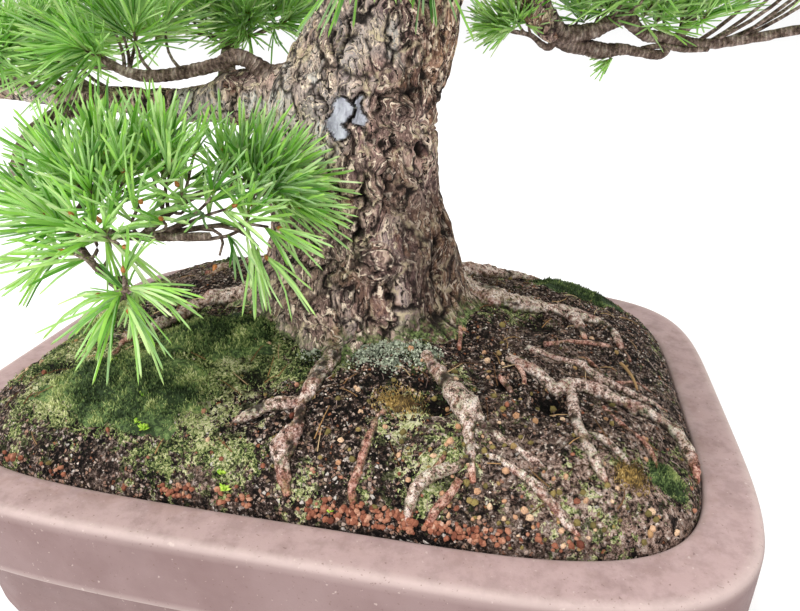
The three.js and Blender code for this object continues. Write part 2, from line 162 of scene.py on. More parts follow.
SURFACE_ROOTS = [
    [[12, -26, 12], [9, -42, 9], [8, -51, 6.4], [6, -68, 5.4], [4, -81, 4.4], [4, -91, 3.6], [3, -100, 3.0],
     [4, -109, 3.2], [2, -115, 4.4], [1, -120, 5.2], [1, -125, 4.4], [3, -130, 3.4], [7, -134, 2.5]],
    [[2, -98, 2.6], [-5, -99, 3.6], [-12, -100, 3.6], [-19, -103, 3.2], [-24, -107, 2.7], [-31, -111, 1.8]],
    [[56, -52, 3.0], [62, -60, 3.8], [66, -64, 4.2], [72, -72, 4.6], [78, -81, 5.7], [83, -87, 5.9],
     [85, -94, 3.9], [86, -100, 3.3], [88, -108, 2.8], [89, -114, 2.3], [91, -121, 1.5]],
    [[86, -88, 3.0], [89, -90, 2.4], [92, -94, 2.1], [93, -99, 2.0], [93, -104, 1.8]],
    [[91, -96, 1.8], [97, -98, 2.0], [103, -101, 2.2], [111, -105, 2.2], [118, -109, 1.9],
     [125, -112, 1.3]],
    [[90, -106, 1.6], [96, -109, 1.8], [101, -110, 1.9], [107, -113, 1.9], [114, -117, 2.1],
     [121, -122, 2.3], [129, -127, 2.2], [134, -130, 1.8], [139, -131, 1.1]],
    [[88, -112, 2.0], [83, -117, 2.3], [77, -120, 2.5], [70, -124, 2.5], [66, -129, 2.3], [64, -134, 2.1],
     [64, -138, 1.5]],
    [[100, -42, 2.4], [107, -46, 2.7], [113, -49, 3.0], [120, -54, 3.3], [126, -60, 3.7], [131, -54, 3.8],
     [137, -50, 3.9], [143, -49, 4.1], [151, -50, 4.3], [158, -53, 4.3], [166, -54, 4.2], [174, -54, 4.0],
     [183, -55, 3.8], [190, -58, 3.8], [194, -65, 3.6], [196, -73, 2.8], [196, -79, 1.9]],
    [[110, -24, 1.8], [116, -27, 2.0], [121, -29, 2.0], [126, -30, 2.0], [133, -30, 2.4], [140, -30, 2.8],
     [150, -34, 3.0], [157, -36, 2.8], [163, -37, 2.5], [169, -38, 2.2], [178, -37, 1.8], [187, -34, 1.4]],
    [[131, -52, 3.2], [134, -59, 3.0], [135, -70, 3.0], [136, -80, 3.0], [138, -89, 3.1], [141, -96, 2.7],
     [145, -103, 2.4], [148, -109, 1.9], [151, -112, 1.2]],
    [[139, -88, 1.6], [145, -88, 1.6], [149, -90, 2.1], [154, -93, 2.1], [158, -96, 1.4], [163, -99, 1.0]],
    [[50, 24, 22], [64, 26, 15], [74, 27, 10], [85, 26, 8.4], [97, 28, 6.8], [109, 34, 5.4], [122, 36, 4.4],
     [134, 40, 3.9], [144, 36, 3.1], [152, 34, 2.6], [159, 31, 2.5], [163, 22, 2.4], [166, 12, 2.1],
     [171, 3, 1.8]],
    [[128, 39, 4.0], [135, 38, 3.7], [140, 26, 3.1], [142, 14, 2.2], [144, 8, 1.4]],
    [[36, 52, 14], [56, 76, 8], [80, 94, 5.5], [106, 106, 3.4], [128, 112, 2.2]],
    [[-6, 62, 13], [-16, 86, 8], [-30, 104, 5.5], [-52, 116, 3]],
    [[-44, 12, 15], [-70, 4, 8], [-92, -6, 5.5], [-104, -24, 4.4], [-112, -44, 3.4], [-128, -54, 2.6],
     [-148, -50, 2.0]],
    [[-40, 42, 14], [-70, 58, 8], [-100, 66, 5], [-132, 62, 3.2]],
]

FINE_ROOTS = [
    [[44, -95, 1.5], [42, -100, 2.0], [40, -109, 2.2], [39, -120, 2.4], [38, -127, 2.2], [37, -131, 2.2],
     [39, -135, 2.0]],
    [[85, -122, 1.7], [81, -129, 1.9], [77, -133, 1.9], [73, -137, 1.6]],
    [[85, -97, 1.3], [82, -100, 1.2], [78, -105, 1.2], [77, -112, 1.2], [74, -118, 1.1], [71, -122, 0.8]],
    [[143, -16, 1.0], [148, -21, 1.4], [153, -26, 1.0]],
    [[70, -12, 1.2], [72, -24, 1.3], [73, -38, 1.3]],
    [[120, -14, 1.6], [138, -2, 1.5], [156, 6, 1.4], [172, 4, 1.1]],
    [[96, -58, 1.3], [104, -70, 1.3], [106, -84, 1.2], [112, -94, 0.9]],
    [[150, -62, 1.4], [158, -72, 1.3], [170, -80, 1.1], [176, -92, 0.9]],
    [[-110, -46, 1.8], [-122, -58, 1.7], [-118, -74, 1.5], [-126, -92, 1.2]],
    [[104, -44, 1.4], [110, -58, 1.3], [108, -70, 1.0]],
    [[160, -30, 1.2], [172, -22, 1.2], [184, -24, 0.9]],
]

PADS: dict[str, tuple[list[float], list[float], str]] = {
    "foliage_left_low": ([-236, 2, 196], [84, 66, 33], "branch_left"),
    "foliage_left_inner": ([-117, -2, 207], [34, 32, 24], "branch_left"),
    "foliage_left_back": ([-100, 86, 212], [62, 46, 27], "branch_left"),
    "foliage_foreground": ([-72, -82, 112], [76, 46, 44], "branch_foreground"),
    "foliage_right_inner": ([88, 90, 212], [20, 22, 17], "branch_right"),
    "foliage_right_low": ([216, 108, 218], [104, 58, 31], "branch_right"),
    "foliage_front_low": ([52, -118, 254], [64, 82, 36], "branch_front_low"),
    "foliage_back_low": ([-18, 122, 296], [92, 78, 33], "branch_back_low"),
    "foliage_left_mid": ([-120, -8, 328], [98, 68, 34], "branch_left_mid"),
    "foliage_right_mid": ([124, -8, 368], [94, 66, 34], "branch_right_mid"),
    "foliage_right_front": ([128, -97, 306], [64, 58, 29], "branch_right_front"),
    "foliage_back_left": ([-66, 108, 366], [66, 52, 28], "branch_back_left"),
    "foliage_front_mid": ([-12, -76, 392], [72, 56, 28], "branch_front_mid"),
    "foliage_left_high": ([-90, 30, 410], [76, 56, 28], "branch_left_high"),
    "foliage_back_mid": ([18, 88, 438], [72, 54, 28], "branch_back_mid"),
    "foliage_front_high": ([-2, -58, 452], [56, 44, 24], "branch_front_high"),
    "foliage_right_high": ([80, 4, 472], [64, 52, 27], "branch_right_high"),
    "foliage_left_top": ([-62, 8, 482], [54, 48, 24], "branch_left_top"),
    "foliage_back_high": ([8, 74, 496], [46, 38, 22], "branch_back_high"),
    "foliage_apex": ([2, 10, 550], [66, 60, 40], "trunk"),
}


# Numbers and patterns


def scramble(ix: np.ndarray, iy: np.ndarray, iz: np.ndarray, seed: int) -> np.ndarray:
    """Gives a fixed random number for each whole-number lattice point by mixing the bits of its place.

    Args:
        ix: Whole numbers along x.
        iy: Whole numbers along y.
        iz: Whole numbers along z.
        seed: Picks one of many independent patterns.

    Returns:
        Numbers from 0 to 1.
    """
    mask = np.int64(0xFFFFFFFF)
    mixed = (ix * 374761393 + iy * 668265263 + iz * 1440662683 + seed * 974634777) & mask
    mixed = ((mixed ^ (mixed >> 13)) * 1274126177) & mask
    mixed = ((mixed ^ (mixed >> 16)) * 1103515245) & mask
    return ((mixed ^ (mixed >> 15)) & 0xFFFFFF) / float(0xFFFFFF)


def bumps(points: np.ndarray, size: float | list[float], octaves: int = 3, seed: int = 0) -> np.ndarray:
    """Soft random bumps: lattice values joined by a quintic blend, summed at halving sizes and strengths.

    Args:
        points: Points as rows of x, y, z.
        size: The width of the largest bumps, one number or one for each axis.
        octaves: How many sizes are summed.
        seed: Picks the pattern.

    Returns:
        One value a point, about -1 to 1.
    """
    scaled = points / np.asarray(size, float)
    total = np.zeros(len(points))
    weight = 1.0
    weights = 0.0
    for octave in range(octaves):
        moved = scaled * 2.0**octave + 17.3 * (octave + 1)
        cell = np.floor(moved).astype(np.int64)
        inside = moved - cell
        blend = inside**3 * (inside * (inside * 6 - 15) + 10)
        value = np.zeros(len(points))
        for corner in range(8):
            step = np.array([corner & 1, (corner >> 1) & 1, corner >> 2])
            share = np.prod(np.where(step, blend, 1 - blend), axis=1)
            at = cell + step
            value += share * scramble(at[:, 0], at[:, 1], at[:, 2], seed + 31 * octave)
        total += weight * (2 * value - 1)
        weights += weight
        weight *= 0.5
    return total / weights * 1.4


@dataclass
class Plates:
    """A crazed pattern of cells, like the plates of old bark, evaluated at points.

    nearest and second are the distances to the two nearest cell middles, tone is a random number for the
    cell, and offset is the vector from the cell's middle, all in units of the cell size.
    """

    nearest: np.ndarray
    second: np.ndarray
    tone: np.ndarray
    offset: np.ndarray

    @property
    def gap(self) -> np.ndarray:
        """How far a point is from its cell's border: 0 on it, and about 0.5 in the middle."""
        return self.second - self.nearest


def plates(points: np.ndarray, size: float | list[float], seed: int = 0) -> Plates:
    """Splits space into the cells nearest to one jittered middle in each lattice cube.

    Args:
        points: Points as rows of x, y, z.
        size: The width of a cell, one number or one for each axis.
        seed: Picks the pattern.

    Returns:
        The pattern at each point.
    """
    scaled = points / np.asarray(size, float)
    cell = np.floor(scaled).astype(np.int64)
    count = len(points)
    result = Plates(np.full(count, 9.0), np.full(count, 9.0), np.zeros(count), np.zeros((count, 3)))
    for step in np.stack(np.meshgrid([-1, 0, 1], [-1, 0, 1], [-1, 0, 1]), axis=-1).reshape(-1, 3):
        at = cell + step
        jitter = np.stack([scramble(at[:, 0], at[:, 1], at[:, 2], seed + k) for k in range(3)], axis=1)
        away = scaled - (at + 0.1 + 0.8 * jitter)
        distance = np.linalg.norm(away, axis=1)
        closer = distance < result.nearest
        result.second = np.where(closer, result.nearest, np.minimum(result.second, distance))
        result.nearest = np.where(closer, distance, result.nearest)
        tone = scramble(at[:, 0], at[:, 1], at[:, 2], seed + 7)
        result.tone = np.where(closer, tone, result.tone)
        result.offset = np.where(closer[:, None], away, result.offset)
    return result


def ease(low: float, high: float, value: np.ndarray) -> np.ndarray:
    """Rises smoothly from 0 at low to 1 at high."""
    t = np.clip((value - low) / (high - low), 0.0, 1.0)
    return t * t * (3.0 - 2.0 * t)


def unit(vectors: np.ndarray) -> np.ndarray:
    """The same directions at length 1."""
    return vectors / np.maximum(np.linalg.norm(vectors, axis=-1, keepdims=True), 1e-9)


def across(direction: np.ndarray) -> tuple[np.ndarray, np.ndarray]:
    """Two directions at right angles to each given unit direction and to each other."""
    upright = np.abs(direction[..., 2:3]) > 0.9
    reference = np.where(upright, np.array([1.0, 0.0, 0.0]), UP)
    side = unit(np.cross(direction, reference))
    return side, np.cross(direction, side)


def spline(route: np.ndarray, count: int) -> tuple[np.ndarray, np.ndarray]:
    """A smooth run through the points of a route: a Catmull-Rom cubic between each pair, in even steps.

    Args:
        route: Rows of numbers, of which the first three are x, y, z.
        count: How many rows to give back.

    Returns:
        The rows on the run, and the unit direction of the run at each.
    """
    rows = np.asarray(route, float)
    padded = np.vstack([2 * rows[0] - rows[1], rows, 2 * rows[-1] - rows[-2]])
    at = np.linspace(0, len(rows) - 1, count)
    step = np.minimum(at.astype(int), len(rows) - 2)
    t = (at - step)[:, None]
    before, start, end, after = (padded[step + k] for k in range(4))
    curve = 0.5 * (
        2 * start + (end - before) * t + (2 * before - 5 * start + 4 * end - after) * t**2
        + (3 * start - before - 3 * end + after) * t**3
    )
    slope = 0.5 * (
        (end - before) + 2 * (2 * before - 5 * start + 4 * end - after) * t
        + 3 * (3 * start - before - 3 * end + after) * t**2
    )
    return curve, unit(slope[:, :3])


def once_round(sides: int) -> np.ndarray:
    """Evenly spaced angles, once round a circle."""
    return np.linspace(0, 2 * np.pi, sides, endpoint=False)


def lengths_along(rows: np.ndarray) -> np.ndarray:
    """How far along a route of rows of x, y, z and more each row is."""
    steps = np.linalg.norm(np.diff(rows[:, :3], axis=0), axis=1)
    return np.concatenate([[0], np.cumsum(steps)])


def from_table(route: list[list[float]]) -> np.ndarray:
    """A route's rows, with heights above the table instead of above the rim."""
    rows = np.array(route, float)
    rows[:, 2] += RIM_Z
    return rows


def outline(angle: np.ndarray, inset: np.ndarray | float) -> np.ndarray:
    """The pot's rounded rectangle: a superellipse with its points crowded towards the corners.

    Args:
        angle: Angles round the pot.
        inset: How far inside the outer edge.

    Returns:
        Rows of x, y.
    """
    turned = angle + CORNER_CROWDING * np.sin(4 * angle)
    c, s = np.cos(turned), np.sin(turned)
    scale = (np.abs(c) ** CORNER_POWER + np.abs(s) ** CORNER_POWER) ** (-1 / CORNER_POWER)
    return np.stack([(HALF_LENGTH - inset) * scale * c, (HALF_WIDTH - inset) * scale * s], axis=-1)


def out_from_middle(x: np.ndarray, y: np.ndarray) -> np.ndarray:
    """How far out towards the pot's inner wall a point is: 0 in the middle and 1 at the wall."""
    along = np.abs(x / (HALF_LENGTH - RIM_WIDTH)) ** CORNER_POWER
    aside = np.abs(y / (HALF_WIDTH - RIM_WIDTH)) ** CORNER_POWER
    return np.minimum(1.0, (along + aside) ** (1 / CORNER_POWER))


def soil_height(x: np.ndarray, y: np.ndarray) -> np.ndarray:
    """Height of the raked mound, as in the CAD model: a dome that falls to just under the rim plane."""
    out = out_from_middle(x, y)
    dome = (SOIL_PEAK + SOIL_EDGE_DROP) * (1 - out**3) ** 0.6 - SOIL_EDGE_DROP
    ripple = (
        1.5 * np.sin(0.041 * x + 0.9) * np.sin(0.052 * y + 0.4) + 0.9 * np.sin(0.093 * x - 0.061 * y + 1.1)
    )
    return dome + ripple * (1 - out**6)


def from_trunk(x: np.ndarray, y: np.ndarray) -> np.ndarray:
    """How far points on the ground are from the middle of the trunk's foot."""
    return np.hypot(x - TRUNK_X, y - TRUNK_Y)


def flat_points(x: np.ndarray, y: np.ndarray) -> np.ndarray:
    """Points on the plane z = 0, for patterns that depend on x and y alone."""
    return np.stack([x, y, np.zeros_like(x)], axis=-1)


@dataclass(frozen=True)
class Patch:
    """A soft-edged oval on the ground, with how strongly it counts."""

    x: float
    y: float
    half_x: float
    half_y: float
    strength: float

    def weight(self, x: np.ndarray, y: np.ndarray) -> np.ndarray:
        """Falls from the strength in the middle as a bell curve."""
        return self.strength * np.exp(
            -(((x - self.x) / self.half_x) ** 2) - ((y - self.y) / self.half_y) ** 2
        )


def total_weight(patches: tuple[Patch, ...], x: np.ndarray, y: np.ndarray) -> np.ndarray:
    """The sum of what several patches give."""
    return sum((patch.weight(x, y) for patch in patches), np.zeros_like(x))


KNOLLS = (
    Patch(46, -40, 18, 14, 4.5), Patch(24, -48, 15, 9, 3.0), Patch(80, 6, 18, 18, 5.0),
    Patch(-34, -34, 22, 16, 4.0), Patch(-62, -48, 26, 20, 2.5), Patch(123, -72, 8, 6, -8.0),
    Patch(69, -86, 7, 5, -6.0), Patch(60, -72, 6, 5, -3.0), Patch(100, -66, 8, 6, -3.0),
    Patch(28, -118, 12, 8, 2.0), Patch(110, -124, 14, 7, 2.0), Patch(166, -116, 14, 8, 2.5),
    Patch(-96, -100, 26, 14, 2.5), Patch(-40, -118, 16, 8, 2.0),
)

# The height and width of the clods and of two kinds of crumbs, with the octaves and the seed of each
CLODS = ((2.6, 24.0, 2, 11), (1.7, 8.0, 2, 12), (0.6, 3.0, 1, 13))


def ground_height(x: np.ndarray, y: np.ndarray) -> np.ndarray:
    """Height of the crumbly surface: the mound with knolls, clods of 24 mm and crumbs of 8 and 3 mm."""
    spot = flat_points(x, y)
    fade = 1 - out_from_middle(x, y) ** 12
    clods = sum(height * bumps(spot, width, octaves, seed) for height, width, octaves, seed in CLODS)
    return soil_height(x, y) + (clods + total_weight(KNOLLS, x, y)) * fade


# Meshes


@dataclass
class Surface:
    """Points in millimetres with their faces, numbers painted on the points, and corner maps."""

    points: np.ndarray
    quads: np.ndarray = field(default_factory=lambda: np.zeros((0, 4), np.int64))
    triangles: np.ndarray = field(default_factory=lambda: np.zeros((0, 3), np.int64))
    paint: dict[str, np.ndarray] = field(default_factory=dict)
    quad_uv: np.ndarray | None = None
    triangle_uv: np.ndarray | None = None


def joined(parts: list[Surface]) -> Surface:
    """Puts several surfaces into one, and fills in paint that some of them lack with 0."""
    offsets = np.cumsum([0] + [len(part.points) for part in parts[:-1]])
    names = sorted({name for part in parts for name in part.paint})
    with_uv = all(part.quad_uv is not None for part in parts)
    return Surface(
        np.concatenate([part.points for part in parts]),
        np.concatenate([part.quads + offset for part, offset in zip(parts, offsets)]),
        np.concatenate([part.triangles + offset for part, offset in zip(parts, offsets)]),
        {
            name: np.concatenate([part.paint.get(name, np.zeros(len(part.points))) for part in parts])
            for name in names
        },
        np.concatenate([part.quad_uv for part in parts]) if with_uv else None,
        np.concatenate([part.triangle_uv for part in parts]) if with_uv else None,
    )


def lattice_quads(rows: int, columns: int, wrap: bool) -> np.ndarray:
    """Quads between neighbours of a grid numbered row by row; wrap joins the last column to the first."""
    row, column = np.meshgrid(
        np.arange(rows - 1), np.arange(columns if wrap else columns - 1), indexing="ij"
    )
    beside = (column + 1) % columns
    corners = [
        row * columns + column, row * columns + beside, (row + 1) * columns + beside,
        (row + 1) * columns + column,
    ]
    return np.stack(corners, axis=-1).reshape(-1, 4)


def end_fans(rows: int, sides: int) -> np.ndarray:
    """Triangles that close both ends of a tube, whose two end points are numbered after its rings."""
    ring = np.arange(sides)
    after = (ring + 1) % sides
    base = (rows - 1) * sides
    return np.concatenate([
        np.stack([after, ring, np.full(sides, rows * sides)], axis=1),
        np.stack([base + ring, base + after, np.full(sides, rows * sides + 1)], axis=1),
    ])


def as_mesh(name: str, surface: Surface, smooth: bool) -> bpy.types.Mesh:
    """Writes a surface into a Blender mesh, in metres, with its paint as attributes and its map as UVs."""
    mesh = bpy.data.meshes.new(name)
    corners = np.concatenate([surface.quads.ravel(), surface.triangles.ravel()]).astype(np.int32)
    sizes = np.concatenate(
        [np.full(len(surface.quads), 4), np.full(len(surface.triangles), 3)]
    ).astype(np.int32)
    mesh.vertices.add(len(surface.points))
    mesh.vertices.foreach_set("co", (surface.points * MM).astype(np.float32).ravel())
    mesh.loops.add(len(corners))
    mesh.loops.foreach_set("vertex_index", corners)
    mesh.polygons.add(len(sizes))
    mesh.polygons.foreach_set("loop_start", np.concatenate([[0], np.cumsum(sizes)[:-1]]).astype(np.int32))
    if surface.quad_uv is not None:
        uv = mesh.uv_layers.new(name="UVMap")
        pairs = np.concatenate([surface.quad_uv.reshape(-1, 2), surface.triangle_uv.reshape(-1, 2)])
        uv.data.foreach_set("uv", pairs.astype(np.float32).ravel())
    for key, values in surface.paint.items():
        layer = mesh.attributes.new(key, "FLOAT", "POINT")
        layer.data.foreach_set("value", values.astype(np.float32))
    mesh.update(calc_edges=True)
    mesh.polygons.foreach_set("use_smooth", np.full(len(sizes), smooth))
    return mesh


def add_piece(
    name: str, surface: Surface, material: bpy.types.Material, stands_for: tuple[str, ...] = (),
    smooth: bool = True,
) -> bpy.types.Object:
    """Adds a piece of the object to the scene under the root body, and hides the CAD nodes it stands for.

    Args:
        name: The piece's name.
        surface: Its points and faces.
        material: Its finish.
        stands_for: CAD nodes that it replaces.
        smooth: Whether its shading is smooth.

    Returns:
        The new object.
    """
    piece = bpy.data.objects.new(name, as_mesh(name, surface, smooth))
    piece.data.materials.append(material)
    bpy.context.scene.collection.objects.link(piece)
    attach(piece, "root")
    if stands_for:
        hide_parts(*stands_for)
    LOG.info("%s: %d triangles", name, 2 * len(surface.quads) + len(surface.triangles))
    return piece


def tube(
    route: np.ndarray, rows: int, sides: int, relief: Relief, tail: float = 0.3, tip: float = 0.6
) -> Surface:
    """A closed limb: rings round a smooth run, with each point pushed out from the plain tube by a relief.

    Args:
        route: Rows of x, y, height, radius.
        rows: How many rings.
        sides: Points in a ring.
        relief: Takes the plain points and their lengths along the run, and gives the push and the paint.
        tail: How far the first end bulges, in radii.
        tip: How far the last end bulges, in radii.

    Returns:
        The limb, with both ends closed.
    """
    run, direction = spline(route, rows)
    middle, radius = run[:, :3], run[:, 3]
    overall = unit(middle[-1] - middle[0])
    reference = np.array([1.0, 0.0, 0.0]) if abs(overall[2]) > 0.8 else UP
    side = unit(np.cross(direction, reference))
    other = np.cross(direction, side)
    angle = once_round(sides)
    spoke = side[:, None] * np.cos(angle)[None, :, None] + other[:, None] * np.sin(angle)[None, :, None]
    plain = (middle[:, None] + radius[:, None, None] * spoke).reshape(-1, 3)
    push, paint = relief(plain, np.repeat(lengths_along(run), sides))
    points = plain + push[:, None] * spoke.reshape(-1, 3)
    first = middle[0] - tail * radius[0] * direction[0]
    last = middle[-1] + tip * radius[-1] * direction[-1]
    paint = {key: np.concatenate([values, values[[0, -1]]]) for key, values in paint.items()}
    points = np.vstack([points, first, last])
    return Surface(points, lattice_quads(rows, sides, True), end_fans(rows, sides), paint)


def threads(
    starts: np.ndarray, bends: np.ndarray, ends: np.ndarray, thick: np.ndarray, thin: np.ndarray,
    sides: int,
    rows: int,
) -> Surface:
    """Many thin twigs at once, each a tapering tube along a curve that start, bend point and end control.

    Each curve is a quadratic Bezier, (1-t)^2 start + 2t(1-t) bend + t^2 end.

    Args:
        starts: Where each twig leaves the wood.
        bends: The point that each is drawn towards.
        ends: Where each ends.
        thick: The radius at each start.
        thin: The radius at each end.
        sides: Points in a ring.
        rows: Rings in a twig.

    Returns:
        All the twigs as one surface of closed tubes.
    """
    t = np.linspace(0, 1, rows)[None, :, None]
    middle = (1 - t) ** 2 * starts[:, None] + 2 * t * (1 - t) * bends[:, None] + t**2 * ends[:, None]
    direction = unit(2 * (1 - t) * (bends - starts)[:, None] + 2 * t * (ends - bends)[:, None] + 1e-6)
    side, other = across(direction)
    angle = once_round(sides)[None, None, :, None]
    radius = (thick[:, None] + (thin - thick)[:, None] * t[..., 0])[..., None, None]
    ring = middle[:, :, None] + radius * (
        np.cos(angle) * side[:, :, None] + np.sin(angle) * other[:, :, None]
    )
    return Surface(*closed_tubes(ring, middle[:, 0], middle[:, -1]))


def closed_tubes(
    ring: np.ndarray, tails: np.ndarray, tips: np.ndarray
) -> tuple[np.ndarray, np.ndarray, np.ndarray]:
    """Points and faces of many tubes of the same make.

    Args:
        ring: Points by tube, row, side and coordinate.
        tails: The middle of each tube's first end.
        tips: The middle of each tube's last end.

    Returns:
        All points, the quads, and the triangles that close the ends.
    """
    count, rows, sides, _ = ring.shape
    each = rows * sides + 2
    points = np.concatenate([ring.reshape(count, rows * sides, 3), tails[:, None], tips[:, None]], axis=1)
    start = (np.arange(count) * each)[:, None, None]
    quads = (lattice_quads(rows, sides, True)[None] + start).reshape(-1, 4)
    return points.reshape(-1, 3), quads, (end_fans(rows, sides)[None] + start).reshape(-1, 3)


# Finishes


def linear(colour: str) -> tuple[float, float, float, float]:
    """Turns an sRGB hex colour into the linear one that a shader socket takes."""
    parts = [int(colour[k : k + 2], 16) / 255 for k in (1, 3, 5)]
    values = [c / 12.92 if c <= 0.04045 else ((c + 0.055) / 1.055) ** 2.4 for c in parts]
    return (values[0], values[1], values[2], 1.0)


def add_node(
    tree: bpy.types.NodeTree, kind: str, inputs: dict[str | int, Any] | None = None, **settings: Any
) -> bpy.types.ShaderNode:
    """Adds a node with its settings, and gives each named input a value or a link.

    Args:
        tree: The node tree.
        kind: The node's type name without its ShaderNode prefix.
        inputs: For each input, a number, colour or vector, or the output socket to link to it.
        **settings: The node's own properties.

    Returns:
        The node.
    """
    node = tree.nodes.new("ShaderNode" + kind)
    for key, value in settings.items():
        setattr(node, key, value)
    for key, value in (inputs or {}).items():
        if isinstance(value, bpy.types.NodeSocket):
            tree.links.new(value, node.inputs[key])
        else:
            node.inputs[key].default_value = value
    return node


@dataclass(frozen=True)
class Band:
    """One colour stop of a ramp."""

    at: float
    colour: str


@dataclass(frozen=True)
class Recipe:
    """What a word in the finishes stands for: a node's type, sockets in order, output and settings."""

    kind: str
    sockets: tuple[str | int, ...]
    output: str | int = 0
    settings: dict[str, Any] = field(default_factory=dict)


ARITHMETIC = ("multiply", "add", "subtract", "maximum", "floor", "fract", "sine", "absolute")
RECIPES = {
    "noise": Recipe("TexNoise", ("Scale", "Detail", "Roughness", "Vector", "Distortion"), "Fac"),
    "colour noise": Recipe("TexNoise", ("Scale", "Detail", "Vector"), "Color"),
    "cells": Recipe("TexVoronoi", ("Scale", "Vector"), "Color"),
    "cell borders": Recipe("TexVoronoi", ("Scale", "Vector"), "Distance", {"feature": "DISTANCE_TO_EDGE"}),
    "fit": Recipe("MapRange", ("Value", 1, 2, 3, 4), 0, {"interpolation_type": "SMOOTHSTEP"}),
    "mix": Recipe("Mix", ("Factor", 6, 7), 2, {"data_type": "RGBA"}),
    "bump": Recipe("Bump", ("Height", "Distance", "Normal"), "Normal"),
    "ramp": Recipe("ValToRGB", ("Fac",), "Color"),
    **{word: Recipe("Math", (0, 1), 0, {"operation": word.upper()}) for word in ARITHMETIC},
}


@dataclass
class Paintbox:
    """A material under construction, with what the finishes share to build it."""

    name: str
    material: bpy.types.Material = field(init=False)
    tree: bpy.types.NodeTree = field(init=False)
    shader: bpy.types.ShaderNode = field(init=False)
    place: bpy.types.NodeSocket = field(init=False)

    def __post_init__(self) -> None:
        """Starts with one shader and the object's own coordinates, in metres."""
        self.material = bpy.data.materials.new(self.name)
        self.material.use_nodes = True
        self.tree = self.material.node_tree
        self.shader = self.tree.nodes["Principled BSDF"]
        self.place = add_node(self.tree, "TexCoord").outputs["Object"]

    def add(
        self, kind: str, inputs: dict[str | int, Any] | None = None, **settings: Any
    ) -> bpy.types.ShaderNode:
        """Adds a node to this material."""
        return add_node(self.tree, kind, inputs, **settings)

    def set(self, **values: Any) -> None:
        """Sets or links sockets of the shader; underscores in the names stand for spaces."""
        for key, value in values.items():
            socket = self.shader.inputs[key.replace("_", " ")]
            if isinstance(value, bpy.types.NodeSocket):
                self.tree.links.new(value, socket)
            else:
                socket.default_value = value

    def read(self, key: str | int, value: Any) -> Any:
        """Turns what a finish gives for a socket into what the socket takes.

        Args:
            key: The socket's name or number.
            value: A socket, a number, a hex colour or the name of a number painted on the points. A Scale
                is given as a width, and a Distance as a depth, both in millimetres.

        Returns:
            A socket to link, or a value to set.
        """
        if isinstance(value, str) and value.startswith("#"):
            return linear(value)
        if isinstance(value, str):
            return self.add("Attribute", attribute_name=value).outputs["Fac"]
        if key == "Scale":
            return 1.0 / MM / value
        return value * MM if key == "Distance" else value

    def node(
        self, word: str, *values: Any, bands: list[Band] | None = None, steps: bool = False, **settings: Any
    ) -> bpy.types.NodeSocket:
        """Adds a node by its word among the recipes.

        Args:
            word: The recipe's word.
            *values: What the recipe's sockets take, in its order.
            bands: The colour stops, where the node is a ramp.
            steps: Whether the ramp's colours change all at once.
            **settings: More of the node's own properties.

        Returns:
            The recipe's output.
        """
        recipe = RECIPES[word]
        inputs = {key: self.read(key, value) for key, value in zip(recipe.sockets, values)}
        if "Vector" in recipe.sockets:
            inputs.setdefault("Vector", self.place)
        node = self.add(recipe.kind, inputs, **recipe.settings, **settings)
        for k, band in enumerate(bands or []):
            stops = node.color_ramp.elements
            stop = stops[k] if k < len(stops) else stops.new(1.0)
            stop.position = band.at
            stop.color = linear(band.colour)
        if steps:
            node.color_ramp.interpolation = "CONSTANT"
        return node.outputs[recipe.output]

    def bent(self, width: float, reach: float, squash: float = 1.0) -> bpy.types.NodeSocket:
        """The object's coordinates pushed about by noise of a width and reach in millimetres, and squashed.

        A pattern on them has wandering edges, and stands taller than wide where squash is under 1.
        """
        colour = self.node("colour noise", width, 2.0)
        inputs = {0: colour, 1: (reach * MM,) * 3, 2: self.place}
        moved = self.add("VectorMath", inputs, operation="MULTIPLY_ADD").outputs[0]
        return self.add("VectorMath", {0: moved, 1: (1.0, 1.0, squash)}, operation="MULTIPLY").outputs[0]

    def cells(self, width: float, at: bpy.types.NodeSocket) -> tuple[Any, Any]:
        """A random number for each cell of about a width, and how near its border is, in cell widths."""
        tone = self.add("SeparateXYZ", {"Vector": self.node("cells", width, at)}).outputs["X"]
        return tone, self.node("cell borders", width, at)

    def over(self, base: Any, colour: str, *amounts: Any) -> bpy.types.NodeSocket:
        """Lays a colour over a base, by one amount or by the product of two."""
        amount = self.node("multiply", *amounts) if len(amounts) > 1 else amounts[0]
        return self.node("mix", amount, base, colour)

    def mossed(self, base: Any, dark: str, pale: str, clump: float, least: float) -> bpy.types.NodeSocket:
        """Lays clumps of moss about as wide as clump over a base, where the points are painted mossy."""
        moss = self.node("mix", self.node("fit", self.node("noise", 1.6, 3, 0.6), 0.35, 0.7), dark, pale)
        clumps = self.node("fit", self.node("noise", clump, 4, 0.65), least, 0.54)
        return self.node("mix", self.node("multiply", "mossy", clumps), base, moss)


